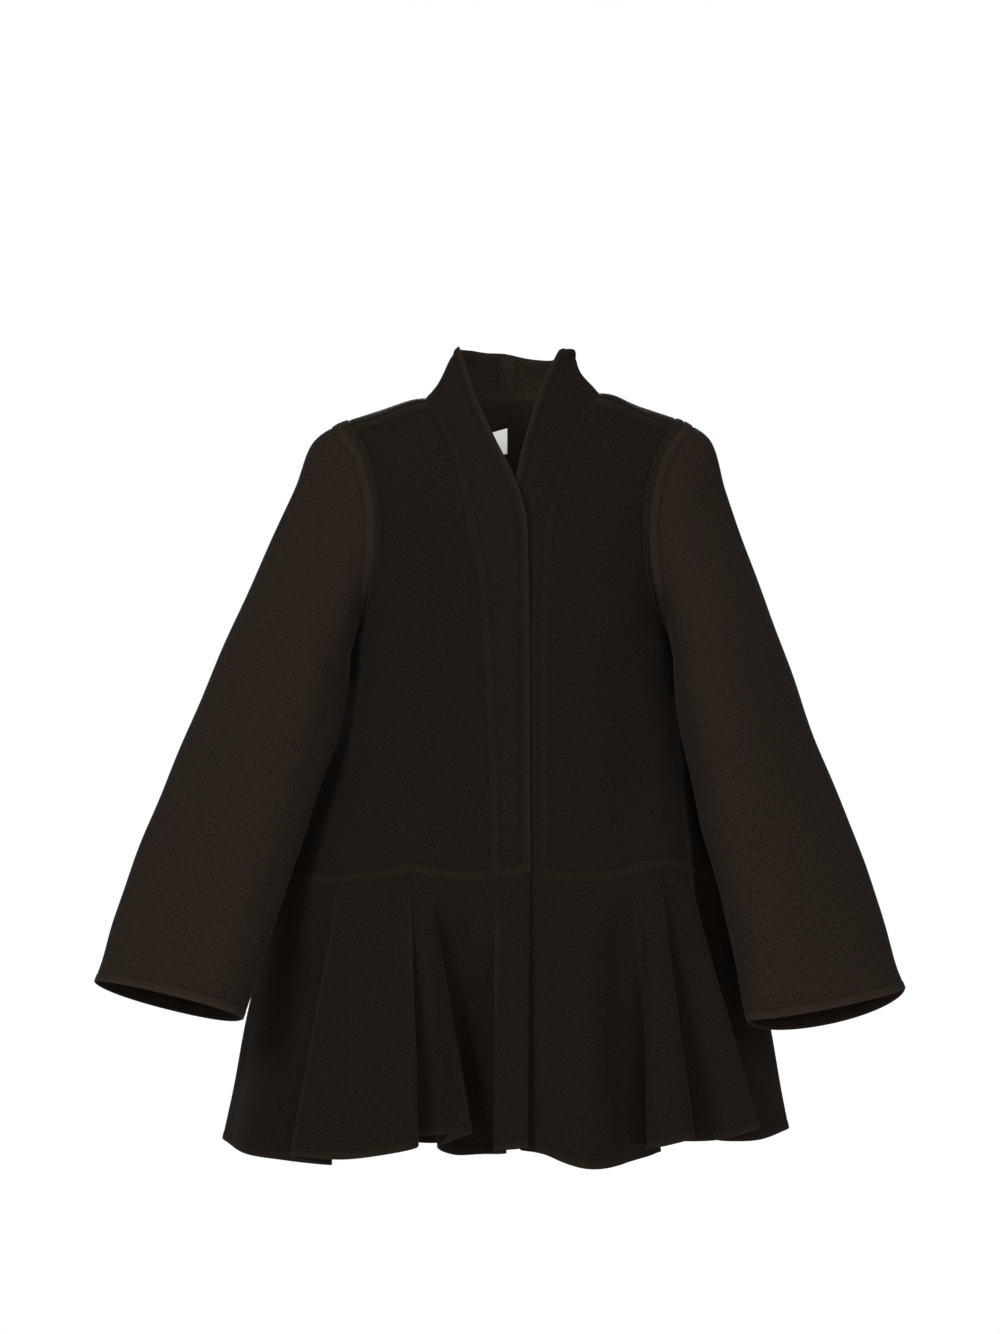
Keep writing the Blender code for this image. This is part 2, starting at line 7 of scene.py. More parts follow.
import bpy
import numpy as np
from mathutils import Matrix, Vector


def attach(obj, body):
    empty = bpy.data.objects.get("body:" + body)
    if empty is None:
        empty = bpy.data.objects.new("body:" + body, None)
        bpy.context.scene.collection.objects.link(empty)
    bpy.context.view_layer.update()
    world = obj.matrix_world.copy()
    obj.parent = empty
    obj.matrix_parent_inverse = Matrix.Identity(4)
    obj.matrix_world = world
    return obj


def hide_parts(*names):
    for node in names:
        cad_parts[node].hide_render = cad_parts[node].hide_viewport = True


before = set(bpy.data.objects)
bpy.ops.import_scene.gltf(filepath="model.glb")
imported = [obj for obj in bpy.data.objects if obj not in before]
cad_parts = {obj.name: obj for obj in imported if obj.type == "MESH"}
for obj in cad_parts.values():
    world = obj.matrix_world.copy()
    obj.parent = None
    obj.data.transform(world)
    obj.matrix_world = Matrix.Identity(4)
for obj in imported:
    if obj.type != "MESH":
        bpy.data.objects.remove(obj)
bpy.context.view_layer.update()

MM = 0.001

# Cloth, seams and stitching: lengths in millimetres, shares and counts
CLOTH = 2.2
LIP = CLOTH / 2
SEWN = 0.6
CUT_EASE = 16.0
NECK_LAP = 0.12
RIDGE_WIDTH = 55.0
RIDGE_FROM = 6.0
RIDGE_EASE = 40.0
CENTRE_LAP = 1.6
WAIST_GAP = 0.15
LABEL_CLOTH = 0.8
LABEL_CLEARANCE = 0.4
FELL_WIDTH = 9.0
FELL_HEIGHT = 0.9
FELL_EASE = 4.0
STRIP_LEAD = 2.0
STITCH_AT = 10.0
STITCH_DEPTH = 0.7
STITCH_WIDTH = 1.3
STITCH_RUN = 4.4
STITCH_SHARE = 0.66
HEM_TURN = 11.0
HEM_EASE = 5.0
HEM_HEIGHT = 0.45
UNDERARM_FELL = 0.5
SKIRT_SWELL = 0.5
CREASE_START = 90.0
# Painted highlight on the skirt's fold edges, light caught by the nap: its share and its width
FOLD_HIGHLIGHT = 0.9
FOLD_EDGE = 2.6
INNER_FOLLOWS = 0.75
CLOTH_UNIT = 100.0
SEAM_CALM = 3.0
SEAM_KEEPS = 0.4
LIP_STEPS = 5

# Relief beside an edge: height, distance from the edge and width
ROLLED_EDGE = (0.8, 3.5, 3.4)
EDGE_STITCHES = (-0.6, 9.5, 1.8)
SEAM_GROOVE = (-0.5, 0.0, 2.2)
UNDERARM_GROOVE = (-0.6, 0.0, 1.4)
WAIST_ROLL = (0.6, 7.0, 5.0)

# Painted highlight, standing for light caught by the nap: how strong on a sewn strip, how soon that ends,
# and how strong at a seam and at a free edge
STRIP_HIGHLIGHT = 0.45
HIGHLIGHT_LEAD = 3.0
SEAM_HIGHLIGHT = 0.3
SEAM_HIGHLIGHT_WIDTH = 2.0
FREE_HIGHLIGHT_WIDTH = 4.0

# Collar band: its shares of a felled strip and of the swells, how soon its folds open, how fast the lap at
# the centre back falls off, and the painted highlight, light caught by the nap, away from the free edge
BAND_FELL = 0.4
BAND_SWELL = 0.5
BAND_FOLDS_OPEN = 2.2
LAP_FALL = 6
BAND_HIGHLIGHT = 0.55
BAND_HIGHLIGHT_FROM = 14.0
BAND_HIGHLIGHT_REACH = 60.0

# Places along a body panel, from the shoulder seam (0) to the waist seam (1)
UNDERARM_AT = 0.5
BACK_NECK_AT = 0.125
WAIST_EASE_FROM = 0.8

# Sleeve: the share over which its ring turns from the armhole into an oval, and the push under the arm
SLEEVE_CAP = 0.38
SLEEVE_LENGTH = 640.0
SLEEVE_RADIUS = 70.0
SLEEVE_CREASES_FROM = 6.0
SLEEVE_CREASES_EASE = 40.0
UNDERARM_CLEAR = 3.0
UNDERARM_CLEAR_AT = 0.06

# Drape fold at the side of the left front
DRAPE_TOP = (160.0, -250.0)
DRAPE_FOOT = (181.0, -488.0)
DRAPE_DEPTH = 20.0
DRAPE_WIDTH = 9.0

# Label inside the back neck, as ranges of the back panel
LABEL_ACROSS = (0.003, 0.105)
LABEL_DOWN = (0.165, 0.205)
LABEL_ROWS = 24
LABEL_COLUMNS = 16

# Grid lines in each piece
PANEL_ROWS = 150
PANEL_COLUMNS = 110
NECK_ROWS = 40
BAND_ROWS = 190
COLLAR_ROWS = 70
BAND_COLUMNS = 36
SLEEVE_ROWS = 150
SLEEVE_COLUMNS = 144
SKIRT_ROWS = 70
FOLD_STEPS = 18
EDGE_CROWDING = 0.6
BAND_CROWDING = 0.3
SKIRT_CROWDING = 0.5

# Each piece as cut, laid flat: its widest and longest in metres, and its area in square metres
CUT = {
    "front_body_right": (0.302, 0.530, 0.094),
    "front_body_left": (0.283, 0.530, 0.088),
    "back_body": (0.612, 0.550, 0.228),
    "collar_band_right": (0.068, 0.700, 0.036),
    "collar_band_left": (0.066, 0.705, 0.037),
    "sleeve_right": (0.549, 0.655, 0.217),
    "sleeve_left": (0.553, 0.655, 0.210),
    "peplum_front_right": (0.712, 0.297, 0.146),
    "peplum_front_left": (0.604, 0.301, 0.127),
    "peplum_back": (0.971, 0.291, 0.218),
    "neck_label": (0.021, 0.032, 0.00064),
}

# Studio: share of the white surround that lights the coat, soft boxes, and the view
SKY_FRONT = 0.30
SKY_BACK = 0.06
SOFT_BOXES = (
    ("box_left", (-2.7, -3.7, 1.7), 1.4, 136.0),
    ("box_right", (2.9, -3.4, 0.7), 1.8, 48.0),
    ("box_front", (0.5, -5.5, 0.9), 1.6, 58.0),
    ("box_top", (0.0, -0.3, 2.4), 2.0, 26.0),
    ("box_back", (0.0, 4.9, 1.5), 1.2, 220.0),
)
LIGHTS_AIM = (0.0, 0.0, -0.35)
NECK_LIGHT = ((0.0, -0.035, -0.01), (0.0, 0.09, -0.04), 0.09, 0.1)
FLOOR_LEVEL = -1.15
FLOOR_RADIUS = 3.0
FLOOR_STEPS = 96
VIEW_FROM = 14.0
VIEW_HEIGHT = 1.4007
VIEW_CENTRE = (-0.0126, -0.2751)


FOLD_COLUMNS = "waist_x hem_x hem_y hem_z"
LINE_COLUMNS = "x_a z_a x_b z_b width height"


def table(columns, *rows):
    """A short table with named columns, each column as an array."""
    return dict(zip(columns.split(), np.array(rows, float).T))


# Front half and back half of an armhole, from the shoulder seam (0) to the underarm (1), outward x
ARMHOLE_FRONT = table(
    "at x y z",
    (0, 177, -10, -29),
    (0.1, 163, -24, -46),
    (0.27, 150, -42, -84),
    (0.5, 144, -53, -143),
    (0.7, 149, -47, -194),
    (0.87, 158, -24, -232),
    (1, 168, 6, -247),
)
ARMHOLE_BACK = table(
    "at x y z",
    (0, 177, -10, -29),
    (0.08, 179, 10, -23),
    (0.27, 170, 42, -64),
    (0.55, 159, 63, -136),
    (0.8, 161, 51, -204),
    (1, 168, 6, -247),
)

# Side seam from the underarm (0) to the waist seam (1), outward x on each side
SIDE_SEAM = table(
    "at x_right x_left y z",
    (0, 168, 168, 6, -247),
    (0.22, 175, 174, 6, -300),
    (0.47, 191, 188, 5, -360),
    (0.72, 217, 211, 4, -422),
    (1, 250, 242, 3, -494),
)

# Collar and front band: seam and free edge, from the centre back (-1) by the neck point (0) to the waist (1)
BAND_RIGHT = table(
    "at seam_x seam_y seam_z edge_x edge_y edge_z",
    (-1, -5, 60, 6, -5, 70, 55),
    (-0.7, -48, 50, 8, -34, 58, 57),
    (-0.35, -82, 22, 7, -56, 24, 60),
    (-0.03, -87.6, -11.2, 0.8, -55.5, -14.5, 59.5),
    (0, -87, -14, 0, -55, -18, 59),
    (0.02, -83.5, -21.5, -7, -49, -30, 42),
    (0.05, -78, -33, -18, -40, -50, 14),
    (0.1, -67, -53, -42, -23, -73, -25),
    (0.2, -52, -82, -92, 4, -94, -80),
    (0.27, -46, -96, -128, 15, -104, -117),
    (0.34, -38, -105, -166, 17, -110, -162),
    (0.5, -31, -117, -246, 18, -119, -245),
    (0.7, -25, -129, -346, 18.5, -131, -346),
    (1, -21, -147, -494, 19, -149, -489),
)
BAND_LEFT = table(
    "at seam_x seam_y seam_z edge_x edge_y edge_z",
    (-1, -5, 60, 6, -5, 70, 55),
    (-0.7, 38, 50, 8, 30, 59, 48),
    (-0.35, 77, 22, 8, 54, 26, 52),
    (-0.03, 86.4, -11.2, 2.6, 57, -14.5, 59),
    (0, 86, -14, 2, 50, -18, 58),
    (0.02, 82, -21.5, -6, 44, -28, 47),
    (0.05, 76, -33, -18, 32, -48, 22),
    (0.1, 67, -53, -42, 17.5, -69, -21),
    (0.2, 51, -80, -92, 3, -88, -80),
    (0.27, 44, -93, -128, -6, -97, -122),
    (0.34, 41, -101, -166, -12, -103.5, -164),
    (0.5, 38.5, -113, -246, -14, -114, -246),
    (0.7, 37.5, -125, -346, -14.5, -126, -346),
    (1, 37, -143, -495, -14.5, -144.5, -492),
)
BAND_ROLL = 2.5

# Centre back line below the neck seam
CENTRE_BACK = table(
    "at x y z",
    (BACK_NECK_AT, -5, 60, 6),
    (0.2, -5, 82, -45),
    (0.35, -5, 104, -135),
    (0.5, -5, 112, -235),
    (0.72, -5, 122, -350),
    (1, -5, 138, -492),
)

# How far each row of a body panel follows an ellipse (1) and not a straight line (0)
ROUNDNESS = table(
    "at front back",
    (0, 0, 0),
    (0.12, 0.3, 0.25),
    (0.3, 0.62, 0.7),
    (0.5, 0.95, 0.95),
    (0.6, 1, 1),
    (1, 1, 1),
)

# Height of the waist seam across each front and the back
WAIST_RIGHT = table(
    "x z",
    (-250, -497),
    (-172, -499),
    (-138, -496),
    (-98, -489),
    (-84, -492),
    (-47, -495),
    (19, -488),
)
WAIST_LEFT = table(
    "x z",
    (-14.5, -490),
    (26, -492),
    (70, -498),
    (104, -495),
    (138, -486),
    (176, -486),
    (192, -494),
    (242, -496),
)
WAIST_BACK = table(
    "x z",
    (-250, -497),
    (-150, -488),
    (-5, -492),
    (150, -488),
    (242, -496),
)

# Skirt folds: where each crest, valley and turn starts on the waist seam, and where it is at the hem
FOLDS_RIGHT = table(
    FOLD_COLUMNS,
    (-250, -304, 0, -771),
    (-226, -272, -80, -785),
    (-188, -190, -112, -794),
    (-177, -233, -152, -783),
    (-147, -172, -190, -785),
    (-110, -100, -182, -774),
    (-103, -106, -150, -764),
    (-95, -72, -153, -761),
    (-86, -42, -168, -761),
    (-79, -76, -132, -774),
    (-66, -58, -110, -784),
    (-36, -28, -120, -783),
    (-21, -8, -142, -781),
    (-14, -21, -168, -778),
    (19, 16.5, -174, -774),
)
FOLDS_LEFT = table(
    FOLD_COLUMNS,
    (-4, 8, -154, -777),
    (28, 32, -168, -781),
    (66, 76, -186, -795),
    (106, 116, -168, -792),
    (125, 152, -136, -780),
    (133, 131, -166, -777),
    (142, 160, -186, -771),
    (152, 189, -172, -764),
    (158, 171, -136, -768),
    (169, 214, -134, -767),
    (182, 258, -136, -755),
    (190, 214, -92, -768),
    (212, 256, -58, -770),
    (242, 291, 0, -760),
)
FOLDS_BACK = table(
    FOLD_COLUMNS,
    (-250, -304, 0, -771),
    (-220, -270, 86, -774),
    (-186, -214, 110, -780),
    (-166, -212, 152, -772),
    (-132, -164, 182, -768),
    (-102, -110, 162, -774),
    (-86, -96, 124, -779),
    (-62, -60, 130, -778),
    (-42, -46, 170, -772),
    (-5, -2, 188, -769),
    (34, 44, 168, -773),
    (54, 54, 128, -779),
    (80, 92, 124, -778),
    (96, 104, 164, -772),
    (126, 156, 180, -766),
    (158, 206, 150, -766),
    (176, 208, 108, -770),
    (210, 256, 82, -764),
    (242, 291, 0, -760),
)

# Sleeve sections from the armhole (0) to the cuff (1), outward x
SLEEVE_RIGHT = table(
    "at out_x out_y out_z in_x in_y in_z front back rise_front rise_back",
    (0, 178, 2, -24, 160, -34, -236, 50, 60, 0, 0),
    (0.06, 207, 2, -42, 163, -40, -252, 48, 60, 0, 0),
    (0.14, 229, 0, -90, 166, -47, -275, 50, 58, 0, 0),
    (0.25, 258, -6, -152, 172.5, -56, -308, 52, 54, 0, 0),
    (0.4, 300, -18, -246, 188.5, -70, -366, 52, 50, 0, 0),
    (0.55, 343, -34, -350, 209, -84, -425, 50, 48, 2, -2),
    (0.7, 380, -54, -440, 228, -100, -490, 48, 46, 4, -4),
    (0.85, 413, -78, -532, 254, -116, -557, 46, 44, 6, -8),
    (0.95, 428, -95, -582, 274, -128, -612, 44, 42, 7, -11),
    (1, 436, -104, -603, 282, -134, -640, 43, 41, 7, -12),
)
SLEEVE_LEFT = table(
    "at out_x out_y out_z in_x in_y in_z front back rise_front rise_back",
    (0, 178, 2, -24, 158, -34, -236, 50, 60, 0, 0),
    (0.06, 205, 2, -40, 162, -40, -254, 48, 60, 0, 0),
    (0.14, 224, 0, -90, 164.5, -47, -280, 50, 58, 0, 0),
    (0.25, 247, -6, -152, 168, -56, -312, 52, 54, 0, 0),
    (0.4, 280, -18, -246, 181, -70, -366, 52, 50, 0, 0),
    (0.55, 318, -34, -350, 195, -84, -428, 50, 48, 0, -3),
    (0.7, 353, -54, -440, 213, -100, -495, 48, 46, -2, -8),
    (0.85, 387, -78, -532, 228, -116, -563, 46, 44, -3, -15),
    (0.95, 402, -95, -588, 239, -128, -620, 44, 42, -5, -22),
    (1, 411, -104, -609, 244, -134, -641, 43, 41, -5, -24),
)


def smooth(rows, column, at, key="at"):
    """A column read at any place, on a smooth curve through the table's rows."""
    x, y = rows[key], rows[column]
    slope = np.gradient(y, x)
    at = np.clip(at, x[0], x[-1])
    low = np.clip(np.searchsorted(x, at, side="right") - 1, 0, len(x) - 2)
    step = x[low + 1] - x[low]
    f = (at - x[low]) / step
    rise = y[low + 1] - y[low]
    bend_low = slope[low] * step - rise
    bend_high = rise - slope[low + 1] * step
    return y[low] + f * rise + f * (1 - f) * ((1 - f) * bend_low + f * bend_high)


def point(rows, at, prefix=""):
    """The x, y and z columns read together."""
    return np.stack([smooth(rows, prefix + axis, at) for axis in "xyz"], axis=-1)


def ease(value):
    """A smooth step from 0 to 1."""
    value = np.clip(value, 0.0, 1.0)
    return value * value * (3.0 - 2.0 * value)


def from_half(value):
    """A smooth step from a half to 1."""
    return 0.5 + 0.5 * ease(value)


def armhole(half, side, at):
    """Points on one half of an armhole."""
    return point(half, at) * (side, 1.0, 1.0)


def side_seam(side, at):
    """Points on a side seam, below the underarm."""
    column = "x_right" if side < 0 else "x_left"
    x = side * smooth(SIDE_SEAM, column, at)
    return np.stack([x, smooth(SIDE_SEAM, "y", at), smooth(SIDE_SEAM, "z", at)], axis=-1)


def outer_edge(half, side, down):
    """The edge of a body panel away from its middle: the armhole, then the side seam."""
    upper = armhole(half, side, np.clip(down / UNDERARM_AT, 0.0, 1.0))
    lower = side_seam(side, np.clip((down - UNDERARM_AT) / (1.0 - UNDERARM_AT), 0.0, 1.0))
    return np.where((down <= UNDERARM_AT)[..., None], upper, lower)


def back_inner_edge(band, down):
    """The neck seam from the shoulder to the centre back, then the centre back line."""
    neck = point(band, -np.clip(down / BACK_NECK_AT, 0.0, 1.0), "seam_")
    centre = point(CENTRE_BACK, down)
    return np.where((down <= BACK_NECK_AT)[..., None], neck, centre)


def rounded(inner, outer, share, across):
    """Places between two edges, on a path that is part straight line and part quarter ellipse."""
    turn = across * np.pi / 2
    sideways = (1 - share) * across + share * np.sin(turn)
    backward = (1 - share) * across + share * (1 - np.cos(turn))
    return inner + (outer - inner) * np.stack([sideways, backward, across], axis=-1)


def settle_on_waist(grid, waist, down):
    """Bends the lowest rows to the height of the waist seam."""
    share = ease((down - WAIST_EASE_FROM) / (1.0 - WAIST_EASE_FROM))
    target = smooth(waist, "z", grid[-1, :, 0], key="x")
    grid[:, :, 2] += share * (target - grid[-1, :, 2])
    return grid


def drape_fold(points):
    """The step back at the side of the left front, dying out at the underarm and the side seam."""
    x, z = points[..., 0], points[..., 2]
    down = np.clip((DRAPE_TOP[1] - z) / (DRAPE_TOP[1] - DRAPE_FOOT[1]), 0.0, 1.0)
    line = DRAPE_TOP[0] + (DRAPE_FOOT[0] - DRAPE_TOP[0]) * down
    side = np.interp(-z, -SIDE_SEAM["z"], SIDE_SEAM["x_left"])
    out = ease((side - x) / np.maximum(side - line - DRAPE_WIDTH, 1.0))
    points[..., 1] += DRAPE_DEPTH * down * ease((x - line) / DRAPE_WIDTH) * out
    return points


def front_panel(band, side, waist, down, across):
    """A front, from the band's seam to the armhole and side seam."""
    inner = point(band, down, "seam_")
    outer = outer_edge(ARMHOLE_FRONT, side, down)
    grid = rounded(inner, outer, smooth(ROUNDNESS, "front", down), across)
    if side > 0:
        grid[:, :-1] = drape_fold(grid[:, :-1])
    return settle_on_waist(grid, waist, down)


def back_panel(band, side, down, across):
    """Half of the back, from the neck and centre back to the armhole and side seam."""
    inner = back_inner_edge(band, down)
    outer = outer_edge(ARMHOLE_BACK, side, down)
    grid = rounded(inner, outer, smooth(ROUNDNESS, "back", down), across)
    return settle_on_waist(grid, WAIST_BACK, down)


def collar_band(band, side, waist, along, across):
    """The strip from the seam to the free edge, slightly rolled between them."""
    seam = point(band, along, "seam_")[:, None, :]
    edge = point(band, along, "edge_")[:, None, :]
    width = across[None, :, None]
    grid = seam + (edge - seam) * width
    run = np.gradient(grid, along, axis=0)
    out = np.cross(run, np.broadcast_to(edge - seam, grid.shape))
    out /= np.linalg.norm(out, axis=-1, keepdims=True)
    grid = grid - out * side * BAND_ROLL * 4 * width * (1 - width)
    return settle_on_waist(grid, waist, along[:, None])


def waist_curve(grids):
    """The bottom rows of the panels above, as one curve to read at any x."""
    row = np.concatenate([grid[-1] for grid in grids])
    order = np.argsort(row[:, 0])
    return row[order]


def skirt(folds, waist, rows, steps):
    """Straight fold lines from the waist curve to the hem curve, both read on a smooth run of folds."""
    count = len(folds["waist_x"])
    folds["at"] = np.arange(count, dtype=float)
    at = np.linspace(0.0, count - 1.0, (count - 1) * steps + 1)
    top_x = np.maximum.accumulate(smooth(folds, "waist_x", at))
    top = np.stack([top_x] + [np.interp(top_x, waist[:, 0], waist[:, i]) for i in (1, 2)], axis=-1)
    top[:, 2] -= WAIST_GAP
    hem = np.stack([smooth(folds, "hem_" + axis, at) for axis in "xyz"], axis=-1)
    share = np.array(rows)[:, None, None]
    return top + (hem - top) * share


def oval(rows, side, turn, along):
    """Sleeve sections: an oval through the outer and inner edges, deeper or shallower before and behind."""
    out = point(rows, along, "out_")[:, None, :]
    inner = point(rows, along, "in_")[:, None, :]
    columns = ("front", "back", "rise_front", "rise_back")
    front, back, rise_front, rise_back = (smooth(rows, column, along)[:, None] for column in columns)
    forward = np.maximum(np.sin(turn), 0.0)
    rearward = np.maximum(-np.sin(turn), 0.0)
    ring = (out + inner) / 2 + (out - inner) / 2 * np.cos(turn)[:, None]
    ring[..., 1] += back * rearward - front * forward
    ring[..., 2] += rise_front * forward + rise_back * rearward
    return ring * (side, 1.0, 1.0)


def turn_round(armhole_at):
    """Turn about a sleeve, from its outer edge over the front to the underarm and up again behind."""
    return np.concatenate([np.pi * armhole_at, 2 * np.pi - np.pi * armhole_at[-2:0:-1]])


def sleeve(rows, side, armhole_at, along):
    """A tube whose first ring is the armhole, growing into the ovals of the table."""
    ahead = armhole(ARMHOLE_FRONT, side, armhole_at)
    behind = armhole(ARMHOLE_BACK, side, armhole_at[-2:0:-1])
    ring = np.concatenate([ahead, behind])
    turn = turn_round(armhole_at)
    ovals = oval(rows, side, turn, along)
    fade = (1.0 - ease(along / SLEEVE_CAP))[:, None, None]
    tube = ovals + fade * (ring - ovals[0])
    reach = along / UNDERARM_CLEAR_AT
    push = UNDERARM_CLEAR * reach * np.exp(1.0 - reach)
    below = (0.5 - 0.5 * np.cos(turn)) ** 2
    tube[..., 0] += side * push[:, None] * below
    return tube


# Soft creases, as lines seen from the front or the back: a ridge has a height above 0, a trough below
CREASES_FRONT_RIGHT = table(
    LINE_COLUMNS,
    (-150, -255, -134, -478, 26, 3.6),
    (-166, -262, -176, -440, 17, -3),
    (-96, -300, -92, -482, 24, -1.6),
    (-60, -240, -52, -430, 30, 1.4),
    (-132, -120, -92, -196, 22, -1.2),
    (-112, -42, -128, -96, 16, 0.9),
)
CREASES_FRONT_LEFT = table(
    LINE_COLUMNS,
    (146, -262, 160, -476, 15, 3),
    (118, -290, 124, -470, 22, -2),
    (80, -250, 76, -440, 28, 1.4),
    (130, -130, 92, -206, 20, -1.2),
    (106, -44, 124, -100, 15, 0.9),
)
CREASES_BACK = table(
    LINE_COLUMNS,
    (-120, -150, -150, -470, 26, 4),
    (-78, -230, -92, -486, 22, -3.2),
    (-36, -170, -40, -486, 30, 2.6),
    (22, -250, 20, -486, 24, -2.6),
    (64, -160, 84, -480, 28, 3.4),
    (124, -220, 150, -486, 22, -3),
    (-30, -22, -86, -70, 18, -1.4),
    (34, -24, 90, -74, 20, -1.5),
)

# Creases round a sleeve: turn from the outer edge over the front, and place down the sleeve
CREASES_SLEEVE_RIGHT = table(
    "turn_a at_a turn_b at_b width height",
    (104, 0.3, 88, 0.52, 24, 4.5),
    (88, 0.52, 118, 0.96, 28, 4),
    (142, 0.26, 150, 0.8, 22, -3.5),
    (48, 0.4, 40, 0.92, 26, -2.2),
    (160, 0.1, 96, 0.2, 15, -2),
    (250, 0.2, 262, 0.66, 24, 4),
    (222, 0.3, 214, 0.86, 22, -3.6),
    (300, 0.36, 292, 0.92, 26, -2.6),
    (196, 0.12, 262, 0.22, 16, -2.4),
)
CREASES_SLEEVE_LEFT = table(
    "turn_a at_a turn_b at_b width height",
    (96, 0.24, 100, 0.6, 30, 2.6),
    (100, 0.6, 84, 0.95, 34, 2.2),
    (150, 0.24, 156, 0.86, 20, -3),
    (46, 0.34, 52, 0.84, 28, -1.6),
    (162, 0.11, 104, 0.19, 14, -1.8),
    (256, 0.22, 248, 0.7, 24, 3.6),
    (218, 0.28, 224, 0.82, 22, -3.2),
    (304, 0.4, 296, 0.9, 26, -2.2),
    (198, 0.12, 258, 0.21, 16, -2.2),
)

# Troughs and ridges down the lower fronts and the lower back
CREASES_SKIRT_RIGHT = table(
    LINE_COLUMNS,
    (-60, -530, -40, -770, 20, -7),
    (-128, -540, -150, -780, 22, -3),
    (-212, -540, -246, -780, 16, -4),
)
CREASES_SKIRT_LEFT = table(
    LINE_COLUMNS,
    (58, -540, 62, -785, 22, 3.5),
    (114, -530, 124, -780, 20, -10),
    (30, -540, 32, -780, 14, -2.5),
)
CREASES_SKIRT_BACK = table(
    LINE_COLUMNS,
    (-150, -540, -186, -770, 18, -4),
    (-24, -540, -28, -770, 16, 2.5),
    (120, -540, 132, -770, 18, -3.5),
)

# Soft folds across the standing collar, from the centre back (-1) to the neck point (0)
CREASES_COLLAR_RIGHT = table(
    "at width height",
    (-0.94, 0.05, 1.6),
    (-0.8, 0.06, -1.8),
    (-0.62, 0.07, 1.5),
    (-0.4, 0.08, -1.2),
)
CREASES_COLLAR_LEFT = table(
    "at width height",
    (-0.9, 0.05, -1.6),
    (-0.72, 0.06, 1.9),
    (-0.55, 0.06, -1.8),
    (-0.34, 0.08, 1.2),
)

# Places where the cloth stands fuller or hollower
FULLNESS = table(
    "x y z width height",
    (-128, 2, -12, 46, 4.5),
    (130, 2, -10, 46, 5.5),
    (-98, -4, -4, 24, 4.5),
    (98, -4, 0, 26, 9),
    (-84, 0, 30, 24, -5),
    (76, 0, 38, 22, -8),
    (-186, 0, -34, 38, 4.5),
    (186, 0, -34, 38, 4.5),
    (-173, -8, -268, 20, 2.6),
    (173, -8, -268, 20, 2.6),
    (-266, -124, -600, 60, 4.5),
)

# Long low swells that keep the cloth from lying too evenly
SWELLS = 7
SWELL_HEIGHT = 0.35
SWELL_LENGTHS = (55.0, 170.0)
SWELL_SEED = 11


def crowded(count, share=EDGE_CROWDING):
    """Places from 0 to 1, closer together at both ends: an even run less a share of its own sine."""
    even = np.linspace(0.0, 1.0, count)
    return even - share * np.sin(2 * np.pi * even) / (2 * np.pi)


def line_lengths(grid):
    """How far each point lies along its row: the running sum of the steps between points."""
    step = np.linalg.norm(np.diff(grid, axis=1), axis=2)
    return np.concatenate([np.zeros((len(grid), 1)), np.cumsum(step, axis=1)], axis=1)


def shortened(grid, first, last):
    """Each row cut back at its ends by the two lengths, the points near an end moved with it."""
    run = line_lengths(grid)
    total = run[:, -1:]
    near = np.minimum(CUT_EASE, total / 2)
    wanted = run + first * (1 - ease(run / near)) - last * (1 - ease((total - run) / near))
    rows = [[np.interp(w, r, axis) for axis in line.T] for w, r, line in zip(wanted, run, grid)]
    return np.moveaxis(np.array(rows), 1, 2)


def cut_back(grid, top=LIP, bottom=LIP, left=LIP, right=LIP):
    """The grid cut back at its four edges, so that a round lip ends where the cut does."""
    grid = shortened(grid, left, right) if left is not None else grid
    return shortened(grid.transpose(1, 0, 2), top, bottom).transpose(1, 0, 2)


def away_from(line, points):
    """Distance of each point from a line of points, and how far along the line its nearest place is."""
    start, step = line[:-1], np.diff(line, axis=0)
    long = np.maximum((step**2).sum(axis=1), 1e-9)
    flat = points.reshape(-1, 3)
    share = (flat @ step.T - (start * step).sum(axis=1)) / long
    share = np.clip(share, 0.0, 1.0)
    gap = (
        (flat**2).sum(axis=1)[:, None]
        - 2 * (flat @ start.T + share * (flat @ step.T))
        + (start**2).sum(axis=1)
        + 2 * share * (start * step).sum(axis=1)
        + share**2 * long
    )
    near = gap.argmin(axis=1)
    pick = np.arange(len(flat))
    lengths = np.sqrt(long)
    before = np.concatenate([[0.0], np.cumsum(lengths)[:-1]])
    along = before[near] + share[pick, near] * lengths[near]
    far = np.sqrt(np.maximum(gap[pick, near], 0.0))
    return far.reshape(points.shape[:-1]), along.reshape(points.shape[:-1])


def bell(distance, width):
    """A soft hump: one at the middle, falling away as the square of the distance."""
    return np.exp(-((distance / width) ** 2))


def beside_edge(distance, form):
    """A soft ridge or groove along an edge: its height times a bell at its distance."""
    height, at, width = form
    return height * bell(distance - at, width)


def felled(distance):
    """The strip of a felled seam: raised cloth by the edge, a stitched groove where the turning ends."""
    strip = FELL_HEIGHT * (1.0 - ease((distance - FELL_WIDTH + STRIP_LEAD) / FELL_EASE))
    return strip - STITCH_DEPTH * bell(distance - STITCH_AT, STITCH_WIDTH)


def hemmed(distance):
    """A turned hem: slightly thicker cloth, then the pull of the stitching."""
    strip = HEM_HEIGHT * (1.0 - ease((distance - HEM_TURN + STRIP_LEAD) / HEM_EASE))
    return strip - STITCH_DEPTH * bell(distance - STITCH_AT, STITCH_WIDTH)


def near_lines(x, y, lines):
    """The sum of soft bells round straight lines in a plane, each with two ends, a width and a height."""
    relief = np.zeros(x.shape)
    for x_a, y_a, x_b, y_b, width, height in lines:
        run = np.array([x_b - x_a, y_b - y_a])
        share = np.clip(((x - x_a) * run[0] + (y - y_a) * run[1]) / (run @ run), 0.0, 1.0)
        gap = np.hypot(x - x_a - share * run[0], y - y_a - share * run[1])
        relief += height * bell(gap, width)
    return relief


def creased(points, rows):
    """Soft creases seen from the front or the back: lines in X and Z."""
    return near_lines(points[..., 0], points[..., 2], zip(*rows.values()))


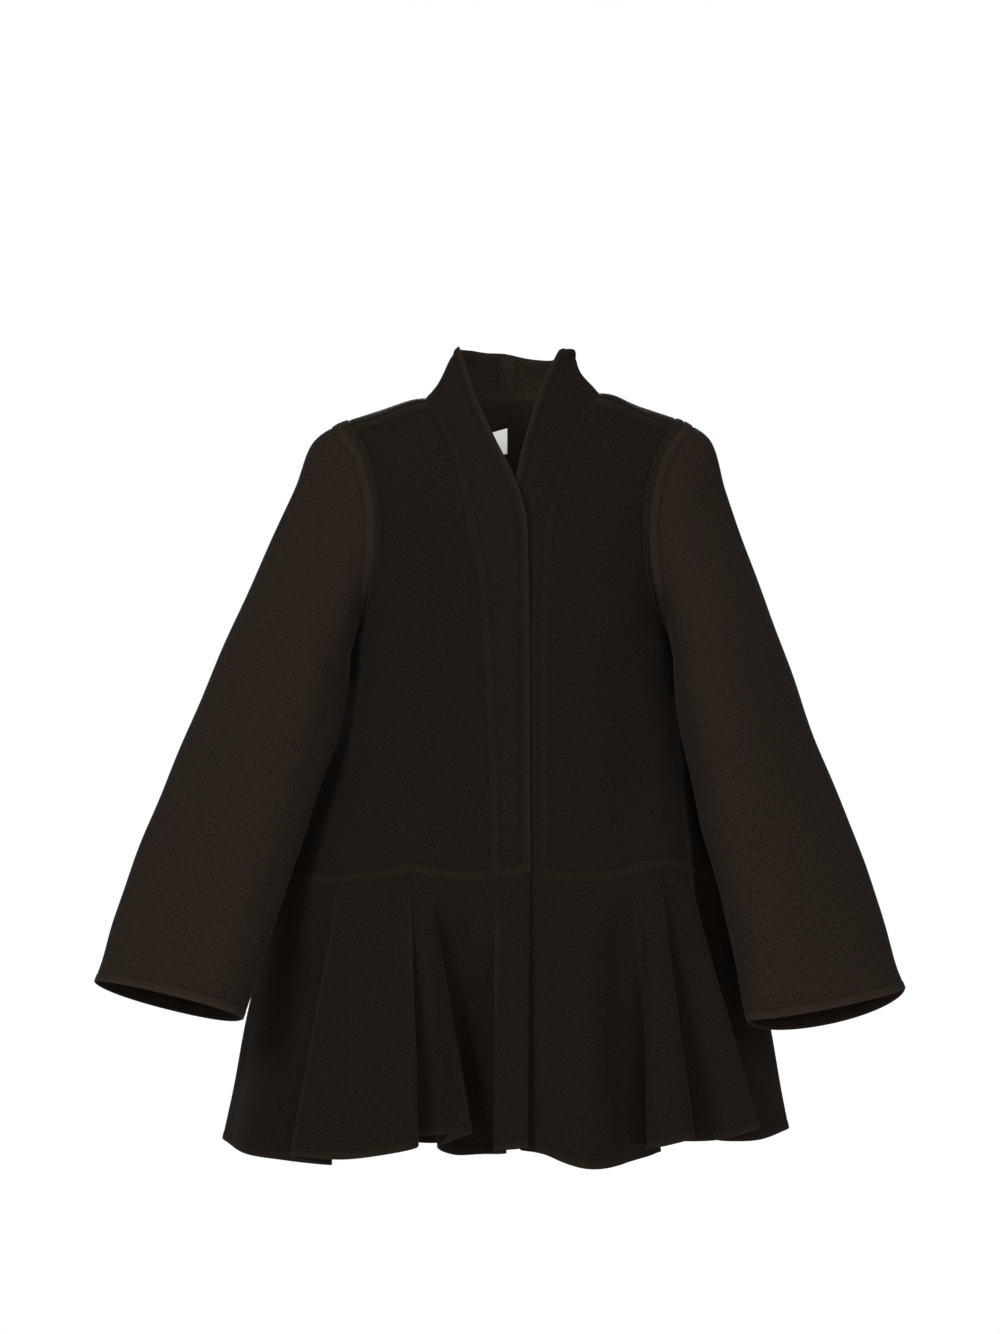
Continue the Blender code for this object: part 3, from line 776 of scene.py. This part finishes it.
def creased_round(turn, at, rows):
    """Creases on a sleeve: lines in turn and place, both taken as lengths of cloth."""
    arc = np.radians(SLEEVE_RADIUS)
    scales = (arc, SLEEVE_LENGTH, arc, SLEEVE_LENGTH, 1.0, 1.0)
    x, y = np.meshgrid(turn * SLEEVE_RADIUS, at * SLEEVE_LENGTH)
    return near_lines(x, y, zip(*(column * scale for column, scale in zip(rows.values(), scales))))


def swelled(points):
    """Long low waves through the cloth: a few sines in space with seeded directions."""
    random = np.random.default_rng(SWELL_SEED)
    ways = random.normal(size=(SWELLS, 3))
    ways /= np.linalg.norm(ways, axis=1, keepdims=True)
    lengths = random.uniform(*SWELL_LENGTHS, SWELLS)
    phases = random.uniform(0.0, 2 * np.pi, SWELLS)
    waves = np.sin(2 * np.pi * (points @ ways.T) / lengths + phases)
    return SWELL_HEIGHT * waves.sum(axis=-1)


def filled(points):
    """Places where the cloth stands fuller or hollower: bells of distance round points in space."""
    relief = np.zeros(points.shape[:2])
    for x, y, z, width, height in zip(*FULLNESS.values()):
        relief += height * bell(np.linalg.norm(points - (x, y, z), axis=-1), width)
    return relief


def outward(grid, facing, closed):
    """Unit normals of a grid: the cross product of its two steps, turned to the outer side."""
    down = np.gradient(grid, axis=0)
    if closed:
        over = (np.roll(grid, -1, axis=1) - np.roll(grid, 1, axis=1)) / 2
    else:
        over = np.gradient(grid, axis=1)
    return unit(np.cross(down, over) * facing)


def unit(vectors):
    """Vectors of length one."""
    return vectors / np.maximum(np.linalg.norm(vectors, axis=-1, keepdims=True), 1e-9)


def rim_loops(rows, columns, closed, slit):
    """The grid's edge as loops of point numbers, with the point just inside each of them.

    A slit (column, row) leaves the grid open between that column and the next, above that row.
    """
    index = np.arange(rows * columns).reshape(rows, columns)
    if closed:
        return [(index[0], index[1]), (index[-1, ::-1], index[-2, ::-1])]
    row, column = np.indices((rows, columns))
    top = [index[0]]
    inner_row, inner_column = np.clip(row, 1, rows - 2), np.clip(column, 1, columns - 2)
    if slit:
        at, foot = slit
        down, up = index[1 : foot + 1, at], index[foot - 1 : 0 : -1, at + 1]
        top = [index[0, : at + 1], down, up, index[0, at + 1 :]]
        inner_column[:foot, at] = at - 1
        inner_column[:foot, at + 1] = at + 2
        inner_row[foot, at] = foot + 1
    loop = np.concatenate(top + [index[1:, -1], index[-1, -2::-1], index[-2:0:-1, 0]])
    return [(loop, (inner_row * columns + inner_column).reshape(-1)[loop])]


def shell(name, grid, relief, facing, finish, closed=False, cloth=CLOTH, values=None, slit=None):
    """Cloth as a closed shell: the grid moved out by its relief, the same moved in by the cloth, and a lip.

    The points of the lip swing from one side to the other on a half circle.
    """
    rows, columns = grid.shape[:2]
    count = rows * columns
    if slit:
        at, foot = slit
        normal = [outward(half, facing, False) for half in (grid[:, : at + 1], grid[:, at + 1 :])]
        normal = np.concatenate(normal, axis=1)
        normal[foot:, at] = unit(normal[foot:, at] + normal[foot:, at + 1])
    else:
        normal = outward(grid, facing, closed)
    outer = (grid + normal * relief[..., None]).reshape(-1, 3)
    inner = (grid + normal * (relief * INNER_FOLLOWS - cloth)[..., None]).reshape(-1, 3)

    across = np.concatenate([grid, grid[:, :1]], axis=1) if closed else grid
    u = line_lengths(across)
    u = u - u.mean(axis=1, keepdims=True)
    v = line_lengths(across.transpose(1, 0, 2)).T
    uv = np.stack([u, v], axis=-1) / CLOTH_UNIT
    wide = uv.shape[1]
    r, c = np.meshgrid(np.arange(rows - 1), np.arange(wide - 1), indexing="ij")
    corner_r = np.stack([r, r + 1, r + 1, r], axis=-1).reshape(-1, 4)
    corner_c = np.stack([c, c, c + 1, c + 1], axis=-1).reshape(-1, 4)
    order = [0, 1, 2, 3] if facing > 0 else [0, 3, 2, 1]
    corner_r, corner_c = corner_r[:, order], corner_c[:, order]
    number = np.arange(count).reshape(rows, columns)
    if slit:
        number[foot:, at + 1] = number[foot:, at]
    cells = number[corner_r, corner_c % columns]
    cell_uv = uv[corner_r, corner_c]
    if slit:
        kept = corner_c.min(axis=1) != at
        cells, cell_uv = cells[kept], cell_uv[kept]
    flip = [0, 3, 2, 1]
    faces, face_uv = [cells, cells[:, flip] + count], [cell_uv, cell_uv[:, flip]]
    points, source = [outer, inner], [np.arange(count), np.arange(count)]
    start = 2 * count
    point_uv = uv[:, :columns].reshape(-1, 2)
    for loop, inset in rim_loops(rows, columns, closed, slit):
        middle, half = (outer[loop] + inner[loop]) / 2, (outer[loop] - inner[loop]) / 2
        off = outer[loop] - outer[inset]
        lean = unit(half)
        off = unit(off - (off * lean).sum(axis=1, keepdims=True) * lean)
        swing = np.linspace(0.0, np.pi, LIP_STEPS + 1)[1:-1, None, None]
        reach = np.linalg.norm(half, axis=1, keepdims=True)
        rings = middle + half * np.cos(swing) + off * reach * np.sin(swing)
        numbers = start + np.arange(rings[..., 0].size).reshape(rings.shape[:2])
        bands = np.concatenate([loop[None], numbers, loop[None] + count])
        nexts = np.roll(bands, -1, axis=1)
        lip = np.stack([bands[:-1], nexts[:-1], nexts[1:], bands[1:]], axis=-1).reshape(-1, 4)
        edge = np.broadcast_to(point_uv[loop], bands.shape + (2,))
        edge_next = np.roll(edge, -1, axis=1)
        if closed:
            edge_next = edge_next.copy()
            edge_next[:, -1] = edge[:, -1]
        lip_uv = np.stack([edge[:-1], edge_next[:-1], edge_next[1:], edge[1:]], axis=2).reshape(-1, 4, 2)
        faces.append(lip[:, order])
        face_uv.append(lip_uv[:, order])
        points.append(rings.reshape(-1, 3))
        source.append(np.tile(loop, len(rings)))
        start += rings[..., 0].size
    points, faces = np.concatenate(points), np.concatenate(faces)
    used, faces = np.unique(faces, return_inverse=True)
    piece = put_mesh(name, points[used], faces.reshape(-1, 4), np.concatenate(face_uv), finish)
    source = np.concatenate(source)[used]
    for label, value in (values or {}).items():
        attribute = piece.data.attributes.new(label, "FLOAT", "POINT")
        attribute.data.foreach_set("value", value.reshape(-1)[source].astype(np.float32))
    return piece


def put(name, data):
    """An object of the scene."""
    thing = bpy.data.objects.new(name, data)
    bpy.context.scene.collection.objects.link(thing)
    return thing


def put_mesh(name, points, faces, face_uv, finish):
    """A smooth mesh with the cloth's own flat coordinates, riding on the coat."""
    mesh = bpy.data.meshes.new(name)
    mesh.from_pydata((points * MM).tolist(), [], faces.tolist())
    mesh.uv_layers.new(name="cloth").data.foreach_set("uv", face_uv.reshape(-1).astype(np.float32))
    mesh.shade_smooth()
    mesh.materials.append(finish)
    piece = put(name, mesh)
    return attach(piece, "root")


def edge_values(grid, stitched, free=()):
    """What the finish reads at each point: distance from a stitched edge, the run along it, and a painted
    highlight.

    The painted highlight stands for light caught by the nap. It is most at a cut or folded edge, and less on
    a sewn strip.
    """
    found = [away_from(line, grid) for line in stitched]
    distances = np.array([far for far, _ in found])
    runs = np.array([along for _, along in found])
    near = distances.argmin(axis=0)[None]
    edge = np.take_along_axis(distances, near, axis=0)[0]
    run = np.take_along_axis(runs, near, axis=0)[0]
    strip = 1.0 - ease((edge - FELL_WIDTH + HIGHLIGHT_LEAD) / FELL_EASE)
    painted_highlight = STRIP_HIGHLIGHT * strip + SEAM_HIGHLIGHT * bell(edge, SEAM_HIGHLIGHT_WIDTH)
    for line in free:
        painted_highlight = np.maximum(painted_highlight, bell(away_from(line, grid)[0], FREE_HIGHLIGHT_WIDTH))
    return {"edge_mm": edge, "run_mm": run, "painted_highlight": np.clip(painted_highlight, 0.0, 1.0)}


def down_the_side(half, side, start, end, count=120):
    """A stretch of a body panel's outer edge as a line of points."""
    return outer_edge(half, side, np.linspace(start, end, count))


def calmed(relief, distance):
    """A relief made lower by a seam, where the cloth is held."""
    return relief * (SEAM_KEEPS + (1.0 - SEAM_KEEPS) * ease(distance / SEAM_CALM))


def make_front(name, grid, side, creases, facing, finish):
    """A front: felled strips along the shoulder, armhole and waist, and soft creases below the chest."""
    sew_armhole = down_the_side(ARMHOLE_FRONT, side, 0.0, UNDERARM_AT)
    stitched = [sew_armhole, grid[0], grid[-1]]
    side_seam_line = down_the_side(ARMHOLE_FRONT, side, UNDERARM_AT, 1.0)
    band_seam = grid[:, 0]
    fine = cut_back(grid, SEWN, SEWN, SEWN, SEWN)
    values = edge_values(fine, stitched)
    beside = np.minimum(away_from(side_seam_line, fine)[0], away_from(band_seam, fine)[0])
    relief = felled(values["edge_mm"]) + creased(fine, creases) + swelled(fine)
    relief += beside_edge(beside, SEAM_GROOVE)
    relief = calmed(relief, values["edge_mm"]) + filled(fine)
    return shell(name, fine, relief, facing, finish, values=values)


def centre_ridge(right, left, neck):
    """The ridge where the halves of the back meet: its slope against height, from nothing at the neck."""
    steps = [np.abs(half[neck:, 1] - half[neck:, 0]) for half in (right, left)]
    slope = np.mean([step[:, 1] / np.maximum(step[:, 0], 1e-6) for step in steps], axis=0)
    height = right[neck:, 0, 2]
    slope = slope * ease((height[0] - height - RIDGE_FROM) / RIDGE_EASE)
    return height[::-1], slope[::-1]


def ridge_height(points, ridge):
    """How far the centre ridge stands out past a round back: a square, falling to nothing at its width."""
    slope = np.interp(points[..., 2], *ridge)
    beside = np.clip(RIDGE_WIDTH - np.abs(points[..., 0] - CENTRE_BACK["x"][0]), 0.0, None)
    return slope / (2 * RIDGE_WIDTH) * beside**2


def make_back(name, right, left, neck, ridge, facing, finish):
    """The back in one piece: felled strips at the armholes and waist, soft creases from the shoulders."""
    armholes = [down_the_side(ARMHOLE_BACK, side, 0.0, UNDERARM_AT) for side in (-1, 1)]
    halves = [cut_back(half, SEWN, SEWN, 0.0, SEWN) for half in (right, left)]
    fine = np.concatenate([halves[0][:, ::-1], halves[1]], axis=1)
    waist = np.concatenate([right[-1, ::-1], left[-1]])
    values = edge_values(fine, armholes + [waist])
    relief = felled(values["edge_mm"]) + creased(fine, CREASES_BACK) + swelled(fine)
    relief -= ridge_height(fine, ridge) * ease(away_from(waist, fine)[0] / RIDGE_EASE)
    for half in (right, left):
        neck_line = half[: neck + 1, 0]
        beside = np.minimum(away_from(neck_line, fine)[0], away_from(half[0], fine)[0])
        relief += beside_edge(beside, SEAM_GROOVE)
    relief = calmed(relief, values["edge_mm"]) + filled(fine)
    slit = (right.shape[1] - 1, neck)
    return shell(name, fine, relief, facing, finish, values=values, slit=slit)


def make_band(name, grid, along, creases, facing, finish):
    """A collar band: a rolled free edge, a felled strip along its seam and soft folds round the neck."""
    round_neck = 1.0 - ease((along + NECK_LAP) / NECK_LAP)[:, None]
    width = np.linspace(0.0, 1.0, grid.shape[1])[None, :]
    lap = CENTRE_LAP * bell(along + 1.0, NECK_LAP / 2)[:, None] * (1.0 - width) ** LAP_FALL
    grid = grid - lap[..., None] * (0.0, 0.0, 1.0)
    fine = cut_back(grid, SEWN / 2, SEWN, SEWN * (1 - round_neck), LIP)
    free, sewn = grid[:, -1], grid[:, 0]
    values = edge_values(fine, [sewn, grid[-1], grid[0]], [free])
    to_free = away_from(free, fine)[0]
    relief = BAND_FELL * felled(values["edge_mm"]) + BAND_SWELL * swelled(fine) + filled(fine)
    relief += beside_edge(to_free, ROLLED_EDGE) + beside_edge(to_free, EDGE_STITCHES)
    for at, spread, height in zip(*creases.values()):
        relief += height * bell(along - at, spread)[:, None] * ease(BAND_FOLDS_OPEN * width)
    # Painted highlight, standing for light caught by the nap, fades away from the free edge
    sewn_highlight = values["painted_highlight"] * from_half((BAND_HIGHLIGHT_REACH - to_free) / BAND_HIGHLIGHT_REACH) * BAND_HIGHLIGHT
    values["painted_highlight"] = np.where(to_free > BAND_HIGHLIGHT_FROM, sewn_highlight, values["painted_highlight"])
    values["edge_mm"] = np.minimum(values["edge_mm"], to_free)
    return shell(name, fine, relief, facing, finish, values=values)


def make_sleeve(name, rows, side, creases, facing, finish):
    """A sleeve: a tube with a hemmed cuff, a felled seam under the arm and long soft creases."""
    armhole_at = np.linspace(0.0, 1.0, SLEEVE_COLUMNS // 2 + 1)
    along = crowded(SLEEVE_ROWS)
    grid = sleeve(rows, side, armhole_at, along)
    cuff = np.concatenate([grid[-1], grid[-1, :1]])
    joined = np.concatenate([grid[0], grid[0, :1]])
    under = grid[:, SLEEVE_COLUMNS // 2]
    fine = cut_back(grid, SEWN, LIP, None, None)
    values = edge_values(fine, [cuff, joined], [cuff])
    to_armhole = away_from(joined, fine)[0]
    to_under, along_under = away_from(under, fine)
    relief = hemmed(away_from(cuff, fine)[0]) + swelled(fine)
    creased_below = ease((to_armhole - SLEEVE_CREASES_FROM) / SLEEVE_CREASES_EASE)
    relief += creased_round(turn_round(armhole_at), along, creases) * creased_below
    relief += felled(to_armhole)
    # Less painted highlight near the armhole
    values["painted_highlight"] *= from_half((to_armhole - HEM_TURN) / HEM_TURN)
    relief += UNDERARM_FELL * felled(to_under) + beside_edge(to_under, UNDERARM_GROOVE) + filled(fine)
    nearer = to_under < values["edge_mm"]
    values["edge_mm"] = np.where(nearer, to_under, values["edge_mm"])
    values["run_mm"] = np.where(nearer, along_under, values["run_mm"])
    return shell(name, fine, relief, facing, finish, closed=True, values=values)


def make_skirt(name, grid, creases, facing, finish, left, right):
    """A skirt piece: straight folds from the waist to a stitched hem, a painted highlight on the fold edges.
    """
    hem = grid[-1]
    fine = cut_back(grid, SEWN, LIP, left, right)
    values = edge_values(fine, [hem], [hem])
    to_waist = away_from(grid[0], fine)[0]
    relief = hemmed(values["edge_mm"]) + SKIRT_SWELL * swelled(fine)
    opened = ease(to_waist / CREASE_START)
    relief += beside_edge(to_waist, WAIST_ROLL) + creased(fine, creases) * opened
    # Painted highlight along each fold edge, where the nap catches light
    for turn in np.nonzero(np.diff(np.sign(np.diff(hem[:, 0]))))[0] + 1:
        edge = FOLD_HIGHLIGHT * bell(away_from(grid[:, turn], fine)[0], FOLD_EDGE)
        values["painted_highlight"] = np.maximum(values["painted_highlight"], edge * opened)
    return shell(name, fine, relief, facing, finish, values=values)


def make_label(name, ridge, finish):
    """The label inside the neck: a patch of the rounded back moved in past the cloth."""
    down, across = np.linspace(*LABEL_DOWN, LABEL_ROWS), np.linspace(*LABEL_ACROSS, LABEL_COLUMNS)
    patch = back_panel(BAND_RIGHT, -1, *np.meshgrid(down, across, indexing="ij"))
    inset = CLOTH + LABEL_CLEARANCE + ridge_height(patch, ridge)
    patch = patch - outward(patch, 1, False) * inset[..., None]
    edge = LABEL_CLOTH / 2
    fine = cut_back(patch, edge, edge, edge, edge)
    return shell(name, fine, np.zeros(fine.shape[:2]), 1, finish, cloth=LABEL_CLOTH)


# Shades of the wool as shares of its tone: deep in the felt, on its fibres, in faint patches, a painted
# highlight where the nap catches light, and in a stitch
SHADES = (0.22, 1.9, (1.02, 1.12, 1.0), 2.1, 0.45)

# Ranges of noise that shade the wool, and half of a thread's width in millimetres, at its core and its edge
FIBRE_RANGE = (0.41, 0.61)
CLOUD_RANGE = (0.32, 0.68)
THREAD = (0.35, 0.8)

# Shares of the nap in the fibres, of patches, the painted highlight and stitches in the colour, and of the
# twill and stitches in the relief
NAP = 0.4
CLOUDED = 0.35
HIGHLIGHTED = 0.55
DARKENED = 0.6
TWILL = 0.16
SUNK = 0.7


def add(tree, kind, inputs=None, **options):
    """A node with its options set, and its inputs set to a value or linked to another node's output."""
    made = tree.nodes.new(kind)
    for key, value in options.items():
        setattr(made, key, value)
    for key, value in (inputs or {}).items():
        if isinstance(value, bpy.types.NodeSocket):
            tree.links.new(value, made.inputs[key])
        else:
            made.inputs[key].default_value = value
    return made.outputs[0]


def sums(tree, operation, a, b=0.0, clamp=False):
    """One step of arithmetic."""
    return add(tree, "ShaderNodeMath", {0: a, 1: b}, operation=operation, use_clamp=clamp)


def blended(tree, share, a, b):
    """A colour between two others."""
    return add(tree, "ShaderNodeMix", {0: share, 6: a, 7: b}, data_type="RGBA").node.outputs[2]


def spread_out(tree, value, low, high, to_low=0.0, to_high=1.0):
    """A value stretched from one range to another."""
    inputs = {"Value": value, "From Min": low, "From Max": high, "To Min": to_low, "To Max": to_high}
    return add(tree, "ShaderNodeMapRange", inputs)


def new_finish(name):
    """A finish with its node tree and its shader."""
    made = bpy.data.materials.new(name)
    made.use_nodes = True
    return made, made.node_tree, made.node_tree.nodes["Principled BSDF"]


def toned(tone, share):
    """A colour from a tone, darker or lighter by a share, or by one for each of red, green and blue."""
    return (*(np.array(tone) * share), 1.0)


def wool(name, tone):
    """Brushed double-faced wool: felted fibres, streaks of nap, a faint twill and a line of stitches.

    The cloth's own flat coordinates are in units of 100 mm. Felt is fine noise, nap is noise drawn out down
    the cloth, and a stitch is a dash in the run along an edge at a set distance from it.
    """
    made, tree, shader = new_finish(name)
    cloth = add(tree, "ShaderNodeUVMap", uv_map="cloth")
    drawn = add(tree, "ShaderNodeMapping", {"Vector": cloth, "Scale": (1.0, 0.45, 1.0)})
    felt = {"Vector": cloth, "Scale": 76.0, "Detail": 5.0, "Roughness": 0.7}
    felt = add(tree, "ShaderNodeTexNoise", felt)
    nap = {"Vector": drawn, "Scale": 66.0, "Detail": 4.0, "Roughness": 0.6}
    nap = add(tree, "ShaderNodeTexNoise", nap)
    cloud = add(tree, "ShaderNodeTexNoise", {"Vector": cloth, "Scale": 2.2, "Detail": 3.0})
    waves = {"Vector": cloth, "Scale": 34.0, "Distortion": 2.5, "Detail": 2.0, "Detail Scale": 3.0}
    twill = add(tree, "ShaderNodeTexWave", waves, bands_direction="DIAGONAL").node.outputs["Fac"]
    edge = attribute(tree, "edge_mm")
    run = attribute(tree, "run_mm")
    painted_highlight = attribute(tree, "painted_highlight")
    off = sums(tree, "ABSOLUTE", sums(tree, "SUBTRACT", edge, STITCH_AT))
    line = spread_out(tree, off, *THREAD, 1.0, 0.0)
    dash = sums(tree, "LESS_THAN", sums(tree, "FRACT", sums(tree, "DIVIDE", run, STITCH_RUN)), STITCH_SHARE)
    stitch = sums(tree, "MULTIPLY", line, dash)

    felted, napped = sums(tree, "MULTIPLY", felt, 1.0 - NAP), sums(tree, "MULTIPLY", nap, NAP)
    fibres = sums(tree, "ADD", felted, napped)
    shade = spread_out(tree, fibres, *FIBRE_RANGE)
    dark, light, olive, highlight_colour, sunken = (toned(tone, share) for share in SHADES)
    colour = blended(tree, shade, dark, light)
    patch = spread_out(tree, cloud, *CLOUD_RANGE, 0.0, CLOUDED)
    colour = blended(tree, patch, colour, olive)
    # Painted highlight where the nap catches light at edges, fold crests and sewn strips
    colour = blended(tree, sums(tree, "MULTIPLY", painted_highlight, HIGHLIGHTED), colour, highlight_colour)
    colour = blended(tree, sums(tree, "MULTIPLY", stitch, DARKENED), colour, sunken)
    tree.links.new(colour, shader.inputs["Base Color"])
    tree.links.new(spread_out(tree, felt, 0.3, 0.7, 0.82, 1.0), shader.inputs["Roughness"])
    height = sums(tree, "ADD", fibres, sums(tree, "MULTIPLY", twill, TWILL))
    height = sums(tree, "SUBTRACT", height, sums(tree, "MULTIPLY", stitch, SUNK))
    bump = add(tree, "ShaderNodeBump", {"Strength": 0.55, "Distance": 0.0007, "Height": height})
    tree.links.new(bump, shader.inputs["Normal"])
    shader.inputs["Specular IOR Level"].default_value = 0.04
    shader.inputs["Sheen Weight"].default_value = 0.035
    shader.inputs["Sheen Roughness"].default_value = 0.42
    shader.inputs["Sheen Tint"].default_value = (1.0, 0.86, 0.76, 1.0)
    return made


def attribute(tree, label):
    """A value stored on the piece's points."""
    return add(tree, "ShaderNodeAttribute", attribute_name=label).node.outputs["Fac"]


def tape(name):
    """Off-white woven tape: fine crossing threads with a little unevenness."""
    made, tree, shader = new_finish(name)
    cloth = add(tree, "ShaderNodeUVMap", uv_map="cloth")
    weave = add(tree, "ShaderNodeTexChecker", {"Vector": cloth, "Scale": 240.0})
    rough = add(tree, "ShaderNodeTexNoise", {"Vector": cloth, "Scale": 60.0, "Detail": 3.0})
    colour = blended(tree, rough, (0.72, 0.71, 0.68, 1.0), (0.86, 0.85, 0.83, 1.0))
    tree.links.new(colour, shader.inputs["Base Color"])
    tree.links.new(spread_out(tree, rough, 0.3, 0.7, 0.55, 0.75), shader.inputs["Roughness"])
    threads = add(tree, "ShaderNodeRGBToBW", {0: weave})
    bump = add(tree, "ShaderNodeBump", {"Strength": 0.3, "Distance": 0.0002, "Height": threads})
    tree.links.new(bump, shader.inputs["Normal"])
    return made


# Tones of the pieces, which differ as the nap lies: the lighter sleeves and bands are a painted sheen on
# copies of one wool
TONES_WITH_PAINTED_SHEEN = {
    "wool_body": (0.0098, 0.0068, 0.0048),
    "wool_band": (0.0108, 0.0075, 0.0054),
    "wool_sleeve": (0.0158, 0.0108, 0.0081),
    "wool_skirt": (0.0100, 0.0069, 0.0049),
}
body_wool, band_wool_painted_sheen, sleeve_wool_painted_sheen, skirt_wool = (wool(slot, tone) for slot, tone in TONES_WITH_PAINTED_SHEEN.items())

down, across = np.meshgrid(crowded(PANEL_ROWS), crowded(PANEL_COLUMNS), indexing="ij")
half_across = 2 * crowded(2 * PANEL_COLUMNS - 1)[PANEL_COLUMNS - 1 :] - 1
below_neck = 1 - (1 - BACK_NECK_AT) * crowded(PANEL_ROWS - NECK_ROWS)[-2::-1]
back_down = np.concatenate([BACK_NECK_AT * crowded(NECK_ROWS), below_neck])
back_at = np.meshgrid(back_down, half_across, indexing="ij")
band_across = crowded(BAND_COLUMNS)
along = np.concatenate([np.linspace(-1.0, 0.0, COLLAR_ROWS), crowded(BAND_ROWS, BAND_CROWDING)[1:]])

front_right = front_panel(BAND_RIGHT, -1, WAIST_RIGHT, down, across)
front_left = front_panel(BAND_LEFT, 1, WAIST_LEFT, down, across)
back_right = back_panel(BAND_RIGHT, -1, *back_at)
back_left = back_panel(BAND_LEFT, 1, *back_at)
ridge = centre_ridge(back_right, back_left, NECK_ROWS - 1)
band_right = collar_band(BAND_RIGHT, -1, WAIST_RIGHT, along, band_across)
band_left = collar_band(BAND_LEFT, 1, WAIST_LEFT, along, band_across)
skirt_rows = crowded(SKIRT_ROWS, SKIRT_CROWDING)
skirt_right = skirt(FOLDS_RIGHT, waist_curve([front_right, band_right[:, 1:]]), skirt_rows, FOLD_STEPS)
skirt_left = skirt(FOLDS_LEFT, waist_curve([front_left, band_left[:, 1:]]), skirt_rows, FOLD_STEPS)
skirt_back = skirt(FOLDS_BACK, waist_curve([back_right, back_left[:, 1:]]), skirt_rows, FOLD_STEPS)

# Each piece with the solid it stands for, and the finish it takes
made = {
    "front_body_right": make_front("wool_front_right", front_right, -1, CREASES_FRONT_RIGHT, -1, body_wool),
    "front_body_left": make_front("wool_front_left", front_left, 1, CREASES_FRONT_LEFT, 1, body_wool),
    "back_body": make_back("wool_back", back_right, back_left, NECK_ROWS - 1, ridge, -1, body_wool),
    "collar_band_right": make_band("wool_band_right", band_right, along, CREASES_COLLAR_RIGHT, 1, band_wool_painted_sheen),
    "collar_band_left": make_band("wool_band_left", band_left, along, CREASES_COLLAR_LEFT, -1, band_wool_painted_sheen),
    "sleeve_right": make_sleeve("wool_sleeve_right", SLEEVE_RIGHT, -1, CREASES_SLEEVE_RIGHT, 1, sleeve_wool_painted_sheen),
    "sleeve_left": make_sleeve("wool_sleeve_left", SLEEVE_LEFT, 1, CREASES_SLEEVE_LEFT, -1, sleeve_wool_painted_sheen),
    "peplum_front_right": make_skirt(
        "wool_skirt_right", skirt_right, CREASES_SKIRT_RIGHT, 1, skirt_wool, SEWN, LIP
    ),
    "peplum_front_left": make_skirt(
        "wool_skirt_left", skirt_left, CREASES_SKIRT_LEFT, 1, skirt_wool, LIP, SEWN
    ),
    "peplum_back": make_skirt("wool_skirt_back", skirt_back, CREASES_SKIRT_BACK, -1, skirt_wool, SEWN, SEWN),
    "neck_label": make_label("tape_label", ridge, tape("label")),
}
for node, (width, length, area) in CUT.items():
    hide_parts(node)

# Floor, light and camera
turns = np.linspace(0.0, 2 * np.pi, FLOOR_STEPS, endpoint=False)
rim = [FLOOR_RADIUS * np.cos(turns), FLOOR_RADIUS * np.sin(turns), np.full(FLOOR_STEPS, FLOOR_LEVEL)]
floor_mesh = bpy.data.meshes.new("floor")
floor_mesh.from_pydata(np.stack(rim, axis=-1).tolist(), [], [list(range(FLOOR_STEPS))])
floor = put("floor", floor_mesh)
pale, tree, shader = new_finish("pale_floor")
place = add(tree, "ShaderNodeTexCoord").node.outputs["Object"]
speck = add(tree, "ShaderNodeTexNoise", {"Vector": place, "Scale": 9.0, "Detail": 4.0})
paint = blended(tree, speck, (0.84, 0.84, 0.83, 1.0), (0.88, 0.88, 0.88, 1.0))
tree.links.new(paint, shader.inputs["Base Color"])
shader.inputs["Roughness"].default_value = 0.9
floor_mesh.materials.append(pale)

world = bpy.data.worlds.new("studio")
world.use_nodes = True
bpy.context.scene.world = world
sky = world.node_tree
background = sky.nodes["Background"]
background.inputs["Color"].default_value = (1.0, 1.0, 1.0, 1.0)
seen = sky.nodes.new("ShaderNodeLightPath").outputs["Is Camera Ray"]
toward = add(sky, "ShaderNodeTexCoord")
toward = add(sky, "ShaderNodeSeparateXYZ", {"Vector": toward.node.outputs["Generated"]}).node.outputs["Y"]
spill = spread_out(sky, toward, -1.0, 1.0, SKY_FRONT, SKY_BACK)
shown = sums(sky, "SUBTRACT", 1.0, spill)
strength = sums(sky, "ADD", spill, sums(sky, "MULTIPLY", shown, seen))
sky.links.new(strength, background.inputs["Strength"])


def soft_box(name, place, aim, size, power):
    """A square soft light at a place, turned to a point."""
    lamp = bpy.data.lights.new(name, "AREA")
    lamp.size = size
    lamp.energy = power
    box = put(name, lamp)
    box.location = place
    box.rotation_euler = (Vector(aim) - Vector(place)).to_track_quat("-Z", "Y").to_euler()
    box.visible_camera = False


for name, place, size, power in SOFT_BOXES:
    soft_box(name, place, LIGHTS_AIM, size, power)
soft_box("box_neck", *NECK_LIGHT)

camera = bpy.data.cameras.new("camera")
camera.sensor_width = 36.0
camera.lens = camera.sensor_width * VIEW_FROM / VIEW_HEIGHT
camera.clip_end = 100.0
eye = put("camera", camera)
eye.location = (VIEW_CENTRE[0], -VIEW_FROM, VIEW_CENTRE[1])
eye.rotation_euler = (np.pi / 2, 0.0, 0.0)
bpy.context.scene.camera = eye
bpy.context.scene.view_settings.view_transform = "Standard"
